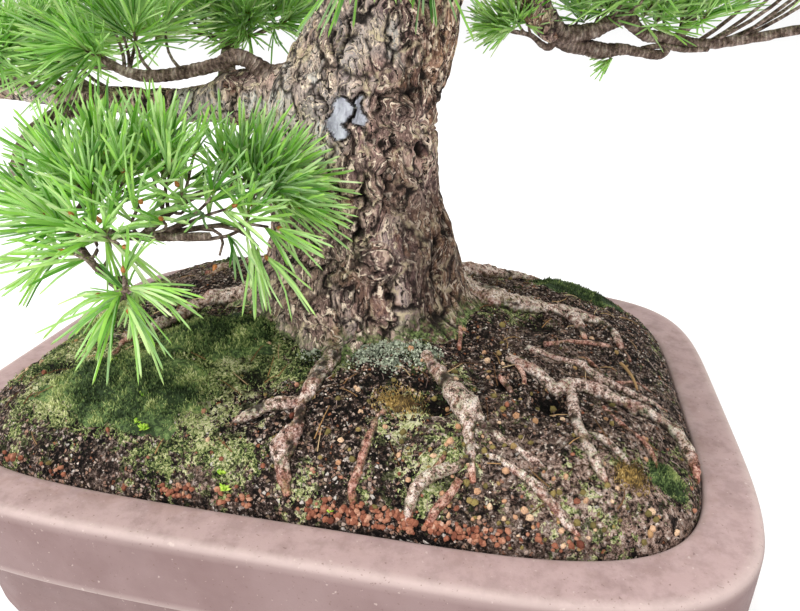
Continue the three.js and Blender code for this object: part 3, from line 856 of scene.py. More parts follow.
@dataclass(frozen=True)
class Stoneware:
    """Unglazed purple-brown stoneware, pressed in a mould and fired: dry, fine-grained, with grog specks.

    The eye sees a matte, slightly sandy pinkish brown, cloudy over a hand's width, darker and water-stained
    inside the rim, and paler along the edges. The rim's top face gets painted light: it is paler than the
    wall.
    """

    body: str = "#7C6462"
    pale: str = "#8A7371"
    bloom: str = "#AE9492"
    stain: str = "#8A6C62"
    speck: str = "#6E554D"
    cloud_width: float = 70.0
    speck_width: float = 1.6

    def make(self) -> bpy.types.Material:
        """Builds the material."""
        box = Paintbox("stoneware_unglazed")
        cloud = box.node("noise", self.cloud_width, 4, 0.6)
        base = box.node("mix", box.node("fit", cloud, 0.35, 0.68), self.body, self.pale)
        mottle = box.node("fit", box.node("noise", 11.0, 6, 0.7), 0.34, 0.6, 0.5, 1.0)
        # Painted light: the rim's top face is painted paler than the wall, in a mottled way.
        base = box.over(base, self.bloom, "bloom", mottle)
        blotch = box.node("noise", 26.0, 5, 0.65, box.place, 0.6)
        stain = box.node("multiply", "stain", box.node("fit", blotch, 0.42, 0.62))
        base = box.over(base, self.stain, stain)
        base = box.over(base, "#CDBBB4", "edge", 0.45)
        speck = box.node("noise", self.speck_width, 2, 0.5)
        base = box.over(base, self.speck, box.node("fit", speck, 0.66, 0.74, 0.0, 0.55))
        light = box.node("noise", 2.6, 2, 0.5)
        base = box.over(base, "#D2C0B8", box.node("fit", light, 0.68, 0.76, 0.0, 0.4))
        grain = box.node("noise", 0.9, 4, 0.7)
        box.set(
            Base_Color=base,
            Roughness=box.node("fit", blotch, 0.3, 0.7, 0.62, 0.82),
            Normal=box.node("bump", box.node("noise", 9.0, 4, 0.6), 0.35, box.node("bump", grain, 0.12)),
            Specular_IOR_Level=0.35,
        )
        return box.material


@dataclass(frozen=True)
class OldBark:
    """Old bark of a white pine: dead cork in thin layers that split into plates and flake off.

    The eye sees contour lines of layer upon layer, with pale torn edges, plates that weather from
    purple-brown to olive and silver grey, long tan fibres where the trunk turns, and near-black cracks
    between them.
    """

    layer_width: float = 17.0
    layers: float = 9.5
    layer_depth: float = 1.0
    flake_width: float = 13.0
    squash: float = 0.42

    def make(self) -> bpy.types.Material:
        """Builds the material."""
        box = Paintbox("bark_flaking_plates")
        flow = box.bent(30.0, 24.0, self.squash)
        field_value = box.node("noise", self.layer_width, 2.8, 0.5, flow)
        height = box.node("multiply", box.node("fit", "burl", 0.1, 0.7, self.layers, 1.5), field_value)
        level = box.node("add", height, box.node("multiply", "tone", 3.0))
        part = box.node("fract", level)
        whole = box.node("floor", level)
        flake, flake_edge = box.cells(self.flake_width, box.bent(7.0, 6.0, self.squash))
        pick = box.add(
            "CombineXYZ", {"X": whole, "Y": box.node("floor", box.node("multiply", flake, 3.0)), "Z": 3.0}
        )
        random = box.add(
            "TexWhiteNoise", {"Vector": pick.outputs[0]}, noise_dimensions="3D"
        ).outputs["Value"]
        plate = box.node("ramp", random, bands=[
            Band(0.0, "#644A48"), Band(0.14, "#A28278"), Band(0.3, "#D0AC9C"), Band(0.44, "#826464"),
            Band(0.58, "#AC8C80"), Band(0.72, "#6E5654"), Band(0.86, "#E6CAB8"), Band(1.0, "#BCAAAA"),
        ])
        purple = box.node("fit", box.node("noise", 30.0, 3, 0.5), 0.46, 0.6)
        plate = box.over(plate, "#644A4D", purple, 0.55)
        rust = box.node("fit", box.node("noise", 19.0, 4, 0.6), 0.55, 0.64)
        plate = box.over(plate, "#9A6A42", rust, 0.5)
        plate = box.over(plate, "#54443F", "burl", 0.5)
        plate = box.over(plate, "#524E3A", "olive", 0.3)
        silver = box.node("multiply", "grey", box.node("fit", flake, 0.1, 0.7, 0.35, 0.95))
        plate = box.over(plate, "#D0CCC6", silver)
        plate = box.node("mix", "fibre", plate, self.fibres(box))
        strand = box.node("noise", 2.6, 2, 0.6, box.bent(30.0, 24.0, 0.15))
        stringy = box.node("fit", box.node("noise", 20.0, 3, 0.6), 0.42, 0.6, 0.3, 1.0)
        dark_strand = box.node("multiply", stringy, box.node("fit", strand, 0.45, 0.37, 0.0, 0.85))
        plate = box.over(plate, "#2A1D19", dark_strand)
        pale_strand = box.node("multiply", stringy, box.node("fit", strand, 0.57, 0.63, 0.0, 0.65))
        plate = box.over(plate, "#F0D4C0", pale_strand)
        grit = box.node("noise", 1.3, 3, 0.7, box.bent(30.0, 24.0, 0.45))
        plate = box.over(plate, "#E4C6B4", box.node("fit", grit, 0.54, 0.66, 0.0, 0.6))
        plate = box.over(plate, "#231915", box.node("fit", grit, 0.47, 0.36, 0.0, 0.75))
        plate = self.edges(box, plate, part, flake_edge)
        # Darker bark on the trunk's lower right: partly its own colour in deep grooves, partly painted
        # shade.
        plate = box.over(plate, "#2E201C", "dark", 0.5)
        bare = box.node("ramp", box.node("noise", 5.0, 4, 0.6, box.bent(8.0, 5.0, 0.3)), bands=[
            Band(0.35, "#85858F"), Band(0.5, "#B0B1BC"), Band(0.65, "#D2D3DC"),
        ])
        plate = box.node("mix", "bare", plate, bare)
        plate = box.mossed(plate, "#263418", "#83935A", 5.0, 0.42)
        plate = box.over(plate, "#120C09", "crack")
        rough_layers = box.node("add", whole, box.node("fit", part, 0.0, 0.12))
        smooth = box.node("subtract", 1.0, box.node("maximum", "bare", "fibre"))
        relief = box.node("bump", box.node("multiply", rough_layers, smooth), self.layer_depth)
        relief = box.node(
            "bump", box.node("fit", flake_edge, 0.0, 0.12), 0.45, box.node("bump", strand, 1.2, relief)
        )
        box.set(
            Base_Color=plate, Roughness=0.86, Normal=box.node("bump", grit, 0.45, relief),
            Specular_IOR_Level=0.22,
        )
        return box.material

    def edges(self, box: Paintbox, plate: Any, part: Any, flake_edge: Any) -> bpy.types.NodeSocket:
        """Adds the pale torn lips of the layers, their shadows, and the hairline cracks between flakes."""
        ragged = box.node(
            "add", part, box.node("fit", box.node("noise", 2.2, 3, 0.7), 0.3, 0.7, -0.16, 0.16)
        )
        torn = box.node(
            "multiply", box.node("fit", ragged, 0.24, 0.17),
            box.node("fit", box.node("noise", 8.0, 4, 0.7), 0.44, 0.51),
        )
        plate = box.over(plate, "#F8E2CC", torn)
        lip = box.node("multiply", "lip", box.node("fit", box.node("noise", 4.0, 3, 0.65), 0.42, 0.54))
        plate = box.over(plate, "#DCC9A6", lip, 0.85)
        plate = box.over(plate, "#18100C", box.node("fit", ragged, 0.84, 0.96, 0.0, 0.94))
        hair = box.node(
            "multiply", box.node("fit", flake_edge, 0.11, 0.0),
            box.node("fit", box.node("noise", 9.0, 2, 0.6), 0.4, 0.55),
        )
        return box.over(plate, "#140D0A", hair, 0.92)

    def fibres(self, box: Paintbox) -> bpy.types.NodeSocket:
        """Long tan and orange-brown fibres, 1 to 3 mm wide and several centimetres long."""
        strands = box.node("noise", 2.6, 3, 0.6, box.bent(9.0, 3.5, 0.09))
        return box.node("ramp", strands, bands=[
            Band(0.32, "#1E130F"), Band(0.43, "#573C30"), Band(0.52, "#886652"), Band(0.6, "#B08A6C"),
            Band(0.75, "#DAB89A"),
        ])


@dataclass(frozen=True)
class TwigBark:
    """Younger bark of the branches: thin grey-brown skin in rings of needle scars, with lifting scales."""

    def make(self) -> bpy.types.Material:
        """Builds the material."""
        box = Paintbox("bark_ringed_branch")
        wander = box.node("multiply", box.node("noise", 7.0, 3, 0.6), 9.0)
        wave = box.node("sine", box.node("add", box.node("multiply", "along", 2.4), wander))
        rings = box.node("fit", wave, -0.4, 0.8)
        blotch = box.node("noise", 6.0, 5, 0.7)
        base = box.node("ramp", blotch, bands=[
            Band(0.34, "#33261F"), Band(0.46, "#6E5A50"), Band(0.56, "#A28D82"), Band(0.68, "#D2C2B6"),
        ])
        base = box.over(base, "#2F2420", box.node("subtract", 1.0, rings), 0.45)
        grit = box.node("noise", 1.0, 3, 0.7)
        base = box.over(base, "#B9A48E", box.node("fit", grit, 0.52, 0.74, 0.0, 0.5))
        base = box.over(base, "#1A1210", "crack")
        box.set(
            Base_Color=base,
            Roughness=0.82,
            Normal=box.node("bump", grit, 0.3, box.node("bump", rings, 0.5, box.node("bump", blotch, 1.0))),
            Specular_IOR_Level=0.25,
        )
        return box.material


@dataclass(frozen=True)
class RootBark:
    """Bark of surface roots: thin and tan to pinkish, crusted with grey lichen, and red where it is new.

    The eye sees a rough crumbly skin, pale on top, dark low at the sides from soil and painted shade,
    and with specks of moss.
    """

    def make(self) -> bpy.types.Material:
        """Builds the material."""
        box = Paintbox("bark_surface_root")
        blotch = box.node("noise", 3.4, 6, 0.8)
        base = box.node("ramp", blotch, bands=[
            Band(0.4, "#241815"), Band(0.45, "#7E5F53"), Band(0.505, "#CFAC9F"), Band(0.57, "#F8E8DE"),
        ])
        new_skin = box.node(
            "ramp", blotch, bands=[Band(0.38, "#4A1F18"), Band(0.48, "#A8543F"), Band(0.6, "#DE9A7E")]
        )
        base = box.node("mix", "fresh", base, new_skin)
        crust = box.node("fit", box.node("noise", 2.2, 5, 0.75), 0.5, 0.6)
        wide = box.node("fit", box.node("noise", 13.0, 3, 0.6), 0.4, 0.6)
        on_top = box.node("multiply", box.node("multiply", crust, wide), "top")
        on_top = box.node("subtract", on_top, "fresh", use_clamp=True)
        base = box.over(base, "#C6C8A8", on_top, 0.8)
        wine = box.node("fit", box.node("noise", 11.0, 3, 0.6), 0.5, 0.62)
        base = box.over(base, "#9A5F52", wine, 0.45)
        grit = box.node("noise", 1.0, 4, 0.75)
        base = box.over(base, "#241A16", box.node("fit", grit, 0.49, 0.38, 0.0, 0.9))
        base = box.over(base, "#E0CDBD", box.node("fit", grit, 0.56, 0.7, 0.0, 0.6))
        base = box.mossed(base, "#2C3A1A", "#8A9658", 4.0, 0.4)
        # Near-black cracks, and the root's low sides, where the crack paint carries soil stain and painted
        # shade.
        base = box.over(base, "#1A120F", "crack")
        relief = box.node("bump", box.node("noise", 3.0, 4, 0.65), 1.3)
        box.set(
            Base_Color=base, Roughness=0.82, Normal=box.node("bump", grit, 0.7, relief),
            Specular_IOR_Level=0.22,
        )
        return box.material


@dataclass(frozen=True)
class NeedleSkin:
    """Needles of a five-needle pine: three-sided, waxy, bright green outside and banded pale within.

    The corner map runs round a needle in u and up it in v: u below two thirds is the two inner faces.
    """

    def make(self) -> bpy.types.Material:
        """Builds the material."""
        box = Paintbox("pine_needle_waxy")
        parts = box.add("SeparateXYZ", {"Vector": box.add("UVMap").outputs["UV"]}).outputs
        round_it, up_it = parts["X"], parts["Y"]
        green = box.node("ramp", "tone", bands=[
            Band(0.0, "#356C1C"), Band(0.3, "#6AAC38"), Band(0.56, "#C6F278"), Band(1.0, "#FAFFD8"),
        ])
        inner = box.node("fit", round_it, 0.64, 0.68, 1.0, 0.0)
        bands = box.node("absolute", box.node("sine", box.node("multiply", round_it, math.pi * 6)))
        waxy = box.node("multiply", inner, box.node("fit", bands, 0.1, 0.5, 0.0, 0.7))
        base = box.node("mix", waxy, green, "#DAF5BE")
        base = box.over(base, "#B9C76A", box.node("fit", up_it, 0.9, 1.0, 0.0, 0.5))
        base = box.over(base, "#A8A24C", box.node("fit", up_it, 0.12, 0.0, 0.0, 0.75))
        dull = box.node("noise", 9.0, 2, 0.5)
        base = box.over(base, "#6AA636", box.node("fit", dull, 0.35, 0.7, 0.0, 0.22))
        box.set(Base_Color=base, Roughness=0.42)
        glow = box.add("BsdfTranslucent", {"Color": base})
        both = box.add("MixShader", {"Fac": 0.45, 1: box.shader.outputs[0], 2: glow.outputs[0]})
        out = box.tree.nodes["Material Output"]
        box.tree.links.new(both.outputs[0], out.inputs["Surface"])
        return box.material


@dataclass(frozen=True)
class MossLeaf:
    """Living moss: crowds of shoots about a millimetre across, from dark wet green to yellow tips."""

    name: str = "moss_living"
    shades: tuple[str, str, str, str] = ("#2C3A22", "#647A48", "#A8B26E", "#E2E2AE")

    def make(self) -> bpy.types.Material:
        """Builds the material."""
        box = Paintbox(self.name)
        grain = box.node("noise", 2.0, 3, 0.6)
        tone = box.node("add", "tone", box.node("fit", grain, 0.3, 0.7, -0.18, 0.18))
        marks = (0.05, 0.35, 0.65, 0.95)
        base = box.node("ramp", tone, bands=[Band(at, shade) for at, shade in zip(marks, self.shades)])
        box.set(
            Base_Color=base, Roughness=0.85, Normal=box.node("bump", grain, 0.6), Specular_IOR_Level=0.2
        )
        return box.material


@dataclass(frozen=True)
class Humus:
    """Old potting mix: black crumbs of humus, grit and root hairs, greened by moss and algae.

    The eye sees near-black gaps between pale and tan specks of 1 to 2 mm, and moss from wet dark green to
    dry straw. Pits and small hollows get painted shade, near-black.
    """

    def make(self) -> bpy.types.Material:
        """Builds the material."""
        box = Paintbox("soil_crumbly_mix")
        crumbs = box.node("noise", 2.6, 5, 0.8)
        base = box.node("ramp", crumbs, bands=[
            Band(0.46, "#060404"), Band(0.52, "#1E1714"), Band(0.57, "#5C4A42"), Band(0.61, "#B09A90"),
            Band(0.66, "#F4E8E0"),
        ])
        fleck, fleck_edge = box.cells(1.9, box.bent(2.0, 1.2))
        chosen = box.node("ramp", fleck, bands=[
            Band(0.0, "#120D0B"), Band(0.4, "#5E4A42"), Band(0.54, "#96806A"), Band(0.66, "#C49A84"),
            Band(0.78, "#E6CDBC"), Band(0.9, "#B06E4C"), Band(0.95, "#F6ECE2"),
        ], steps=True)
        showing = box.node(
            "multiply", box.node("fit", fleck_edge, 0.06, 0.2),
            box.node("fit", box.node("noise", 6.0, 3, 0.6), 0.4, 0.54),
        )
        base = box.node("mix", box.node("multiply", showing, 0.92), base, chosen)
        dry = box.node("ramp", crumbs, bands=[
            Band(0.41, "#241A17"), Band(0.47, "#8A6E61"), Band(0.54, "#CBAC9C"), Band(0.64, "#F6E6DA"),
        ])
        dusty = box.node("multiply", "dry", box.node("fit", box.node("noise", 7.0, 4, 0.7), 0.36, 0.56))
        base = box.node("mix", dusty, base, dry)
        shoots = box.node("noise", 1.5, 4, 0.8)
        wide = box.node("fit", box.node("noise", 16.0, 3, 0.6), 0.3, 0.7, -0.06, 0.07)
        level = box.node("add", box.node("add", shoots, wide), box.node("multiply", "bright", 0.09))
        moss = box.node("ramp", level, bands=[
            Band(0.41, "#0F160D"), Band(0.46, "#45562E"), Band(0.52, "#8C9A5A"), Band(0.575, "#CCCC8C"),
            Band(0.65, "#F6F0CA"),
        ])
        patchy = box.node(
            "add", "green", box.node("fit", box.node("noise", 4.5, 4, 0.7), 0.3, 0.7, -0.45, 0.45)
        )
        base = box.node("mix", box.node("fit", patchy, 0.42, 0.58), base, moss)
        # Painted shade: near-black where the crumbly surface sinks into pits.
        base = box.over(base, "#0A0706", "pit", 0.95)
        # Painted shade: near-black blotches about 9 mm wide stand in for small hollows.
        hollow_shade = box.node("fit", box.node("noise", 9.0, 4, 0.7), 0.56, 0.62, 0.0, 0.85)
        base = box.over(base, "#0D0908", hollow_shade)
        relief = box.node("bump", shoots, 1.4, box.node("bump", crumbs, 2.8))
        box.set(Base_Color=base, Roughness=0.92, Normal=relief, Specular_IOR_Level=0.15)
        return box.material


@dataclass(frozen=True)
class ClayGrain:
    """Baked clay grains, akadama: round, porous and chalky, orange when dry, darker when worn or damp."""

    name: str = "akadama_clay_grain"
    shades: tuple[str, str, str, str] = ("#66392C", "#98604A", "#B6856C", "#CFAA96")

    def make(self) -> bpy.types.Material:
        """Builds the material."""
        box = Paintbox(self.name)
        pores = box.node("noise", 0.8, 3, 0.6)
        marks = (0.0, 0.4, 0.7, 1.0)
        base = box.node("ramp", "tone", bands=[Band(at, shade) for at, shade in zip(marks, self.shades)])
        base = box.over(base, "#4A2C1E", box.node("fit", pores, 0.5, 0.3, 0.0, 0.55))
        box.set(
            Base_Color=base, Roughness=0.9, Normal=box.node("bump", pores, 0.25), Specular_IOR_Level=0.2
        )
        return box.material


@dataclass(frozen=True)
class PlainFinish:
    """A small part's even finish with a fine grain: soft plastic mesh, anodised wire or bare stone."""

    name: str
    colour: str
    second: str
    grain: float
    roughness: float
    metallic: float = 0.0

    def make(self) -> bpy.types.Material:
        """Builds the material."""
        box = Paintbox(self.name)
        grain = box.node("noise", self.grain, 4, 0.65)
        base = box.node("mix", box.node("fit", grain, 0.35, 0.65), self.colour, self.second)
        box.set(
            Base_Color=base, Roughness=self.roughness, Metallic=self.metallic,
            Normal=box.node("bump", grain, self.grain * 0.1),
        )
        return box.material


# The pot and what drains it


@dataclass
class Pot:
    """The moulded pot: a superellipse wall under a wide flat rim, with a lip band and four bracket feet."""

    sides: int = 288
    drain_radius: float = 15.0
    drain_x: float = 110.0
    foot_length: float = 80.0
    foot_thickness: float = 18.0
    foot_inset: float = 30.0
    foot_flare: float = 3.0
    foot_round: float = 2.5
    corner_gap: float = 12.0
    straight_share: float = 0.93
    foot_steps: int = 61
    sway_width: float = 90.0
    sway: float = 0.35

    def profile(self) -> np.ndarray:
        """The wall's section as inset, height, stain and edge wear, from the underside out, up and in."""
        return np.array([
            [120, 13, 0, 0], [70, 13, 0, 0], [30, 13, 0, 0], [26, 13, 0, 0], [24, 13.3, 0, 0],
            [21, 14.6, 0, 0], [19, 17, 0, 0], [17.6, 20, 0, 0], [16, 27, 0, 0], [14.5, 44, 0, 0],
            [13, 64, 0, 0], [11.3, 80, 0, 0], [10.6, 84, 0, 0], [9.4, 85.8, 0, 0], [6.5, 86.6, 0, 0],
            [2.6, 86.9, 0, 0.2], [1.2, 87.3, 0, 0.8], [0.4, 88.2, 0, 1], [0.1, 89.8, 0, 0.6], [0, 93, 0, 0],
            [0, 104, 0, 0], [0, 115, 0, 0], [0.1, 123, 0, 0], [0.2, 126.4, 0, 0.4], [0.7, 128.3, 0, 1],
            [1.7, 129.4, 0, 1], [3.2, 129.9, 0, 0.7], [5.5, 130, 0, 0.1], [9, 130, 0.1, 0],
            [13, 130, 0.3, 0], [17, 130, 0.6, 0], [20.5, 130, 0.9, 0], [22.6, 129.8, 1, 0.2],
            [23.9, 129.2, 1, 0.5], [24.7, 128.0, 1, 0.4], [25, 126, 1, 0], [25, 110, 1, 0], [25, 60, 1, 0],
            [25.3, 31, 1, 0], [27, 26.5, 1, 0], [30, 25, 1, 0], [70, 25, 1, 0], [120, 25, 1, 0],
        ])

    def wall(self) -> Surface:
        """The wall and floor: the section swept round the outline, closed in the middle above and below."""
        section = self.profile()
        angle = once_round(self.sides)
        flat = outline(angle[None, :], section[:, 0:1])
        height = np.repeat(section[:, 1:2], self.sides, axis=1)
        points = np.concatenate([flat, height[..., None]], axis=-1).reshape(-1, 3)
        sway = bumps(points, self.sway_width, 2, 5)[:, None] * self.sway
        outer = (np.repeat(section[:, 1], self.sides) > 40)[:, None]
        points = points + np.where(outer, sway, 0) * np.array([1.0, 1.0, 0.3])
        rows = len(section)
        ends = np.array([[0, 0, section[0, 1]], [0, 0, section[-1, 1]]])
        paint = {
            name: np.concatenate([np.repeat(section[:, column], self.sides), [0, 1]])
            for name, column in (("stain", 2), ("edge", 3))
        }
        front_left = ease(60, -160, points[:, 0]) * ease(0, -120, points[:, 1])
        paint["stain"][: len(points)] *= 0.3 + 0.3 * front_left
        # Painted light: marks the rim's top face, from 127.5 mm up, to be painted paler than the wall.
        paint["bloom"] = np.concatenate([ease(127.5, 129.6, points[:, 2]), [0, 0]])
        quads = lattice_quads(rows, self.sides, True)
        return Surface(np.vstack([points, ends]), quads, end_fans(rows, self.sides), paint)

    def foot(self, side_x: int, side_y: int) -> Surface:
        """One bracket foot: a strip that follows the outline round a corner, with its edges rounded.

        Its section is a loop of inset and height, swept along a quarter of the outline between two end
        planes.
        """
        out, thick, rise = self.foot_inset, self.foot_thickness, FOOT_HEIGHT + 1.5
        soft = self.foot_round
        loop = np.array([
            [out + soft, 0], [out + soft * 0.3, soft * 0.3], [out, soft], [out - self.foot_flare, rise],
            [out + thick, rise], [out + thick, soft], [out + thick - soft * 0.3, soft * 0.3],
            [out + thick - soft, 0],
        ])
        short = self.foot_length + self.corner_gap
        start = math.atan2(HALF_WIDTH - short, HALF_LENGTH * self.straight_share)
        end = math.atan2(HALF_WIDTH * self.straight_share, HALF_LENGTH - short)
        angle = start + (end - start) * np.linspace(0, 1, self.foot_steps)
        flat = outline(angle[:, None], loop[None, :, 0])
        points = np.concatenate(
            [flat, np.broadcast_to(loop[None, :, 1:2], (self.foot_steps, len(loop), 1))], axis=-1
        )
        points = points * np.array([side_x, side_y, 1.0])
        surface = Surface(
            *closed_tubes(points[None], points[0].mean(axis=0)[None], points[-1].mean(axis=0)[None])
        )
        if side_x * side_y < 0:
            surface.quads = surface.quads[:, ::-1]
            surface.triangles = surface.triangles[:, ::-1]
        return surface

    def build(self) -> None:
        """Adds the pot with its feet, and cuts the two drain holes through its floor."""
        feet = [self.foot(sx, sy) for sx in (-1, 1) for sy in (-1, 1)]
        piece = add_piece(
            "pot_body", joined([self.wall(), *feet]), Stoneware().make(), ("pot",)
        )
        for side in (-1, 1):
            route = np.array(
                [[side * self.drain_x, 0, z, self.drain_radius] for z in (5.0, 15.0, 25.0, 35.0)]
            )
            plug = tube(route, 4, 48, lambda plain, along: (np.zeros(len(plain)), {}))
            cutter = bpy.data.objects.new("drain_cutter", as_mesh("drain_cutter", plug, False))
            bpy.context.scene.collection.objects.link(cutter)
            cut = piece.modifiers.new("drain", "BOOLEAN")
            cut.operation = "DIFFERENCE"
            cut.solver = "EXACT"
            cut.object = cutter
            apply_modifiers(piece)
            bpy.data.objects.remove(cutter)


def apply_modifiers(piece: bpy.types.Object) -> None:
    """Turns a piece's modifiers into mesh, and removes them."""
    result = bpy.data.meshes.new_from_object(piece.evaluated_get(bpy.context.evaluated_depsgraph_get()))
    old = piece.data
    piece.modifiers.clear()
    piece.data = result
    bpy.data.meshes.remove(old)
    result.name = piece.name


@dataclass
class DrainParts:
    """The drain meshes, their wires and the grit bed, whose CAD shapes only need their finishes."""

    finishes: dict[str, PlainFinish] = field(default_factory=lambda: {
        "drain_screen": PlainFinish("mesh_soft_plastic", "#1B2023", "#2A3136", 0.9, 0.55),
        "screen_wire": PlainFinish("aluminium_copper_anodised", "#6E4A34", "#80583F", 0.7, 0.38, 0.9),
        "drainage_layer": PlainFinish("grit_pumice", "#8A7B6A", "#C2B7A4", 5.0, 0.9),
    })

    def dress(self, nodes: dict[str, bpy.types.Object]) -> None:
        """Gives each of the CAD nodes its finish."""
        for start, finish in self.finishes.items():
            material = finish.make()
            for name in [n for n in nodes if n.startswith(start)]:
                node = nodes[name]
                node.data.materials.clear()
                node.data.materials.append(material)
                LOG.info("%s dressed", name)


# The ground


@dataclass
class Ground:
    """The mound's surface: where it is mossy, and how pale the moss is, and the soil itself."""

    columns: int = 252
    rows: int = 180
    mossy: tuple[Patch, ...] = (
        Patch(-66, -50, 44, 34, 1.1), Patch(-98, -98, 66, 32, 0.8), Patch(-170, 0, 30, 66, 0.8),
        Patch(-20, -62, 30, 30, 0.55), Patch(8, -72, 12, 10, 0.4), Patch(50, -86, 14, 12, 0.6),
        Patch(179, -94, 12, 10, 0.8), Patch(160, -116, 30, 14, 0.25), Patch(28, -130, 16, 8, 0.4),
        Patch(-90, 96, 60, 30, 0.8), Patch(140, 92, 40, 30, 0.7), Patch(20, 110, 40, 20, 0.5),
        Patch(114, -126, 40, 12, 0.25), Patch(186, -30, 12, 40, 0.3), Patch(76, -72, 12, 8, 0.3),
        Patch(-150, -70, 34, 34, 0.6), Patch(-30, -128, 30, 10, 0.6), Patch(62, -108, 26, 16, 0.5),
        Patch(46, -44, 22, 12, 0.5), Patch(84, 4, 18, 16, 0.5), Patch(0, -60, 190, 90, 0.16),
        Patch(74, -124, 12, 12, 0.6), Patch(84, 26, 34, 14, 0.6),
    )
    straw: tuple[Patch, ...] = (
        Patch(-98, -104, 60, 26, 0.9), Patch(50, -88, 20, 14, 1.2), Patch(60, -112, 36, 18, 1.0),
        Patch(130, -126, 60, 14, 1.0), Patch(-40, -80, 18, 12, 0.5), Patch(-66, -40, 40, 26, -0.8),
        Patch(46, -44, 30, 16, -0.6), Patch(-20, -20, 50, 30, -0.8),
    )
    dusty: tuple[Patch, ...] = (
        Patch(146, -114, 44, 22, 1.5), Patch(168, -60, 28, 36, 0.6), Patch(126, -20, 40, 20, 0.5),
        Patch(90, -96, 22, 16, 0.4), Patch(40, -110, 16, 12, 0.2), Patch(-150, 60, 40, 40, 0.4),
        Patch(100, 80, 50, 30, 0.5),
    )
    half_inside: tuple[float, float] = (200.0, 140.0)
    trunk_clear: float = 56.0

    def green(self, x: np.ndarray, y: np.ndarray) -> np.ndarray:
        """How mossy the ground is, about 0 to 1: the patches, broken up by blotches of 18 mm."""
        total = total_weight(self.mossy, x, y)
        return np.clip(total + 0.42 * bumps(flat_points(x, y), 18.0, 3, 21) - 0.05, 0, 1.1)

    def bright(self, x: np.ndarray, y: np.ndarray) -> np.ndarray:
        """How pale and dry the moss is, about -1 to 1."""
        return np.clip(
            total_weight(self.straw, x, y) + 0.7 * bumps(flat_points(x, y), 13.0, 2, 23), -1, 1.3
        )

    def build(self) -> None:
        """Adds the soil: a fine grid bent to the pot's outline, with its side and underside closed."""
        u, v = np.meshgrid(np.linspace(-1, 1, self.columns), np.linspace(-1, 1, self.rows))
        u, v = u.ravel(), v.ravel()
        reach = np.maximum(np.abs(u), np.abs(v))
        spread = (np.abs(u) ** CORNER_POWER + np.abs(v) ** CORNER_POWER) ** (1 / CORNER_POWER)
        shrink = np.where(spread > 1e-6, reach / np.maximum(spread, 1e-6), 1.0)
        edge = RIM_WIDTH + SOIL_GAP
        x = (HALF_LENGTH - edge) * u * shrink
        y = (HALF_WIDTH - edge) * v * shrink
        top = np.stack([x, y, RIM_Z + ground_height(x, y)], axis=1)
        grid = np.arange(self.columns * self.rows).reshape(self.rows, self.columns)
        border = np.concatenate([grid[0, :-1], grid[:-1, -1], grid[-1, :0:-1], grid[:0:-1, 0]])
        low = top[border].copy()
        low[:, 2] = DRAINAGE_TOP + SOIL_GAP
        count = len(top)
        ring = np.arange(len(border))
        after = (ring + 1) % len(border)
        side = np.stack([border, count + ring, count + after, border[after]], axis=1)
        floor = np.array([[0, 0, DRAINAGE_TOP + SOIL_GAP]])
        fan = np.stack([count + after, count + ring, np.full(len(ring), count + len(ring))], axis=1)
        points = np.vstack([top, low, floor])
        rest = np.zeros(len(low) + 1)
        dry = np.clip(total_weight(self.dusty, x, y) + 0.3 * bumps(flat_points(x, y), 26.0, 2, 25), 0, 1)
        sunk = ground_height(x, y) - soil_height(x, y)
        # Painted shade: marks where the crumbly surface sinks below the mound, to be painted near-black.
        pit = ease(-0.6, -2.6, sunk + 0.8 * bumps(flat_points(x, y), 5.0, 2, 27))
        paint = {
            name: np.concatenate([values, rest])
            for name, values in (
                ("green", self.green(x, y)), ("bright", self.bright(x, y)), ("dry", dry), ("pit", pit),
            )
        }
        quads = np.concatenate([lattice_quads(self.rows, self.columns, False), side])
        surface = Surface(points, quads, fan, paint)
        add_piece("soil_mound", surface, Humus().make(), ("soil",))

    def scatter(
        self, count: int, weight: Callable[[np.ndarray, np.ndarray], np.ndarray], rng: np.random.Generator,
        margin: float = 2.0,
    ) -> tuple[np.ndarray, np.ndarray]:
        """Random spots on the soil, kept by a chance that weight gives, clear of the rim and the trunk.

        Args:
            count: How many spots are tried.
            weight: The chance that a spot is kept.
            rng: The random source.
            margin: How far to stay from the pot's inner wall.

        Returns:
            The x and the y of the spots that are kept.
        """
        x = rng.uniform(-(HALF_LENGTH - RIM_WIDTH - margin), HALF_LENGTH - RIM_WIDTH - margin, count)
        y = rng.uniform(-(HALF_WIDTH - RIM_WIDTH - margin), HALF_WIDTH - RIM_WIDTH - margin, count)
        half_x, half_y = self.half_inside
        inner = out_from_middle(x * (1 + margin / half_x), y * (1 + margin / half_y)) < 0.999
        clear = from_trunk(x, y) > self.trunk_clear
        keep = inner & clear & (rng.random(count) < weight(x, y))
        return x[keep], y[keep]


ICO_POINTS = np.array([
    [0, 0.5257, 0.8507], [0, -0.5257, 0.8507], [0, 0.5257, -0.8507], [0, -0.5257, -0.8507],
    [0.5257, 0.8507, 0], [-0.5257, 0.8507, 0], [0.5257, -0.8507, 0], [-0.5257, -0.8507, 0],
    [0.8507, 0, 0.5257], [-0.8507, 0, 0.5257], [0.8507, 0, -0.5257], [-0.8507, 0, -0.5257],
])
ICO_FACES = np.array([
    [0, 1, 8], [0, 8, 4], [0, 4, 5], [0, 5, 9], [0, 9, 1], [1, 6, 8], [8, 6, 10], [8, 10, 4], [4, 10, 2],
    [4, 2, 5], [5, 2, 11], [5, 11, 9], [9, 11, 7], [9, 7, 1], [1, 7, 6], [3, 10, 6], [3, 2, 10], [3, 11, 2],
    [3, 7, 11], [3, 6, 7],
])
CHIP_POINTS = np.array([[1, 0, 0], [-0.5, 0.866, 0], [-0.5, -0.866, 0], [0, 0, 0.9], [0, 0, -0.9]])
CHIP_FACES = np.array([[0, 1, 3], [1, 2, 3], [2, 0, 3], [1, 0, 4], [2, 1, 4], [0, 2, 4]])
LEAF_POINTS = 8


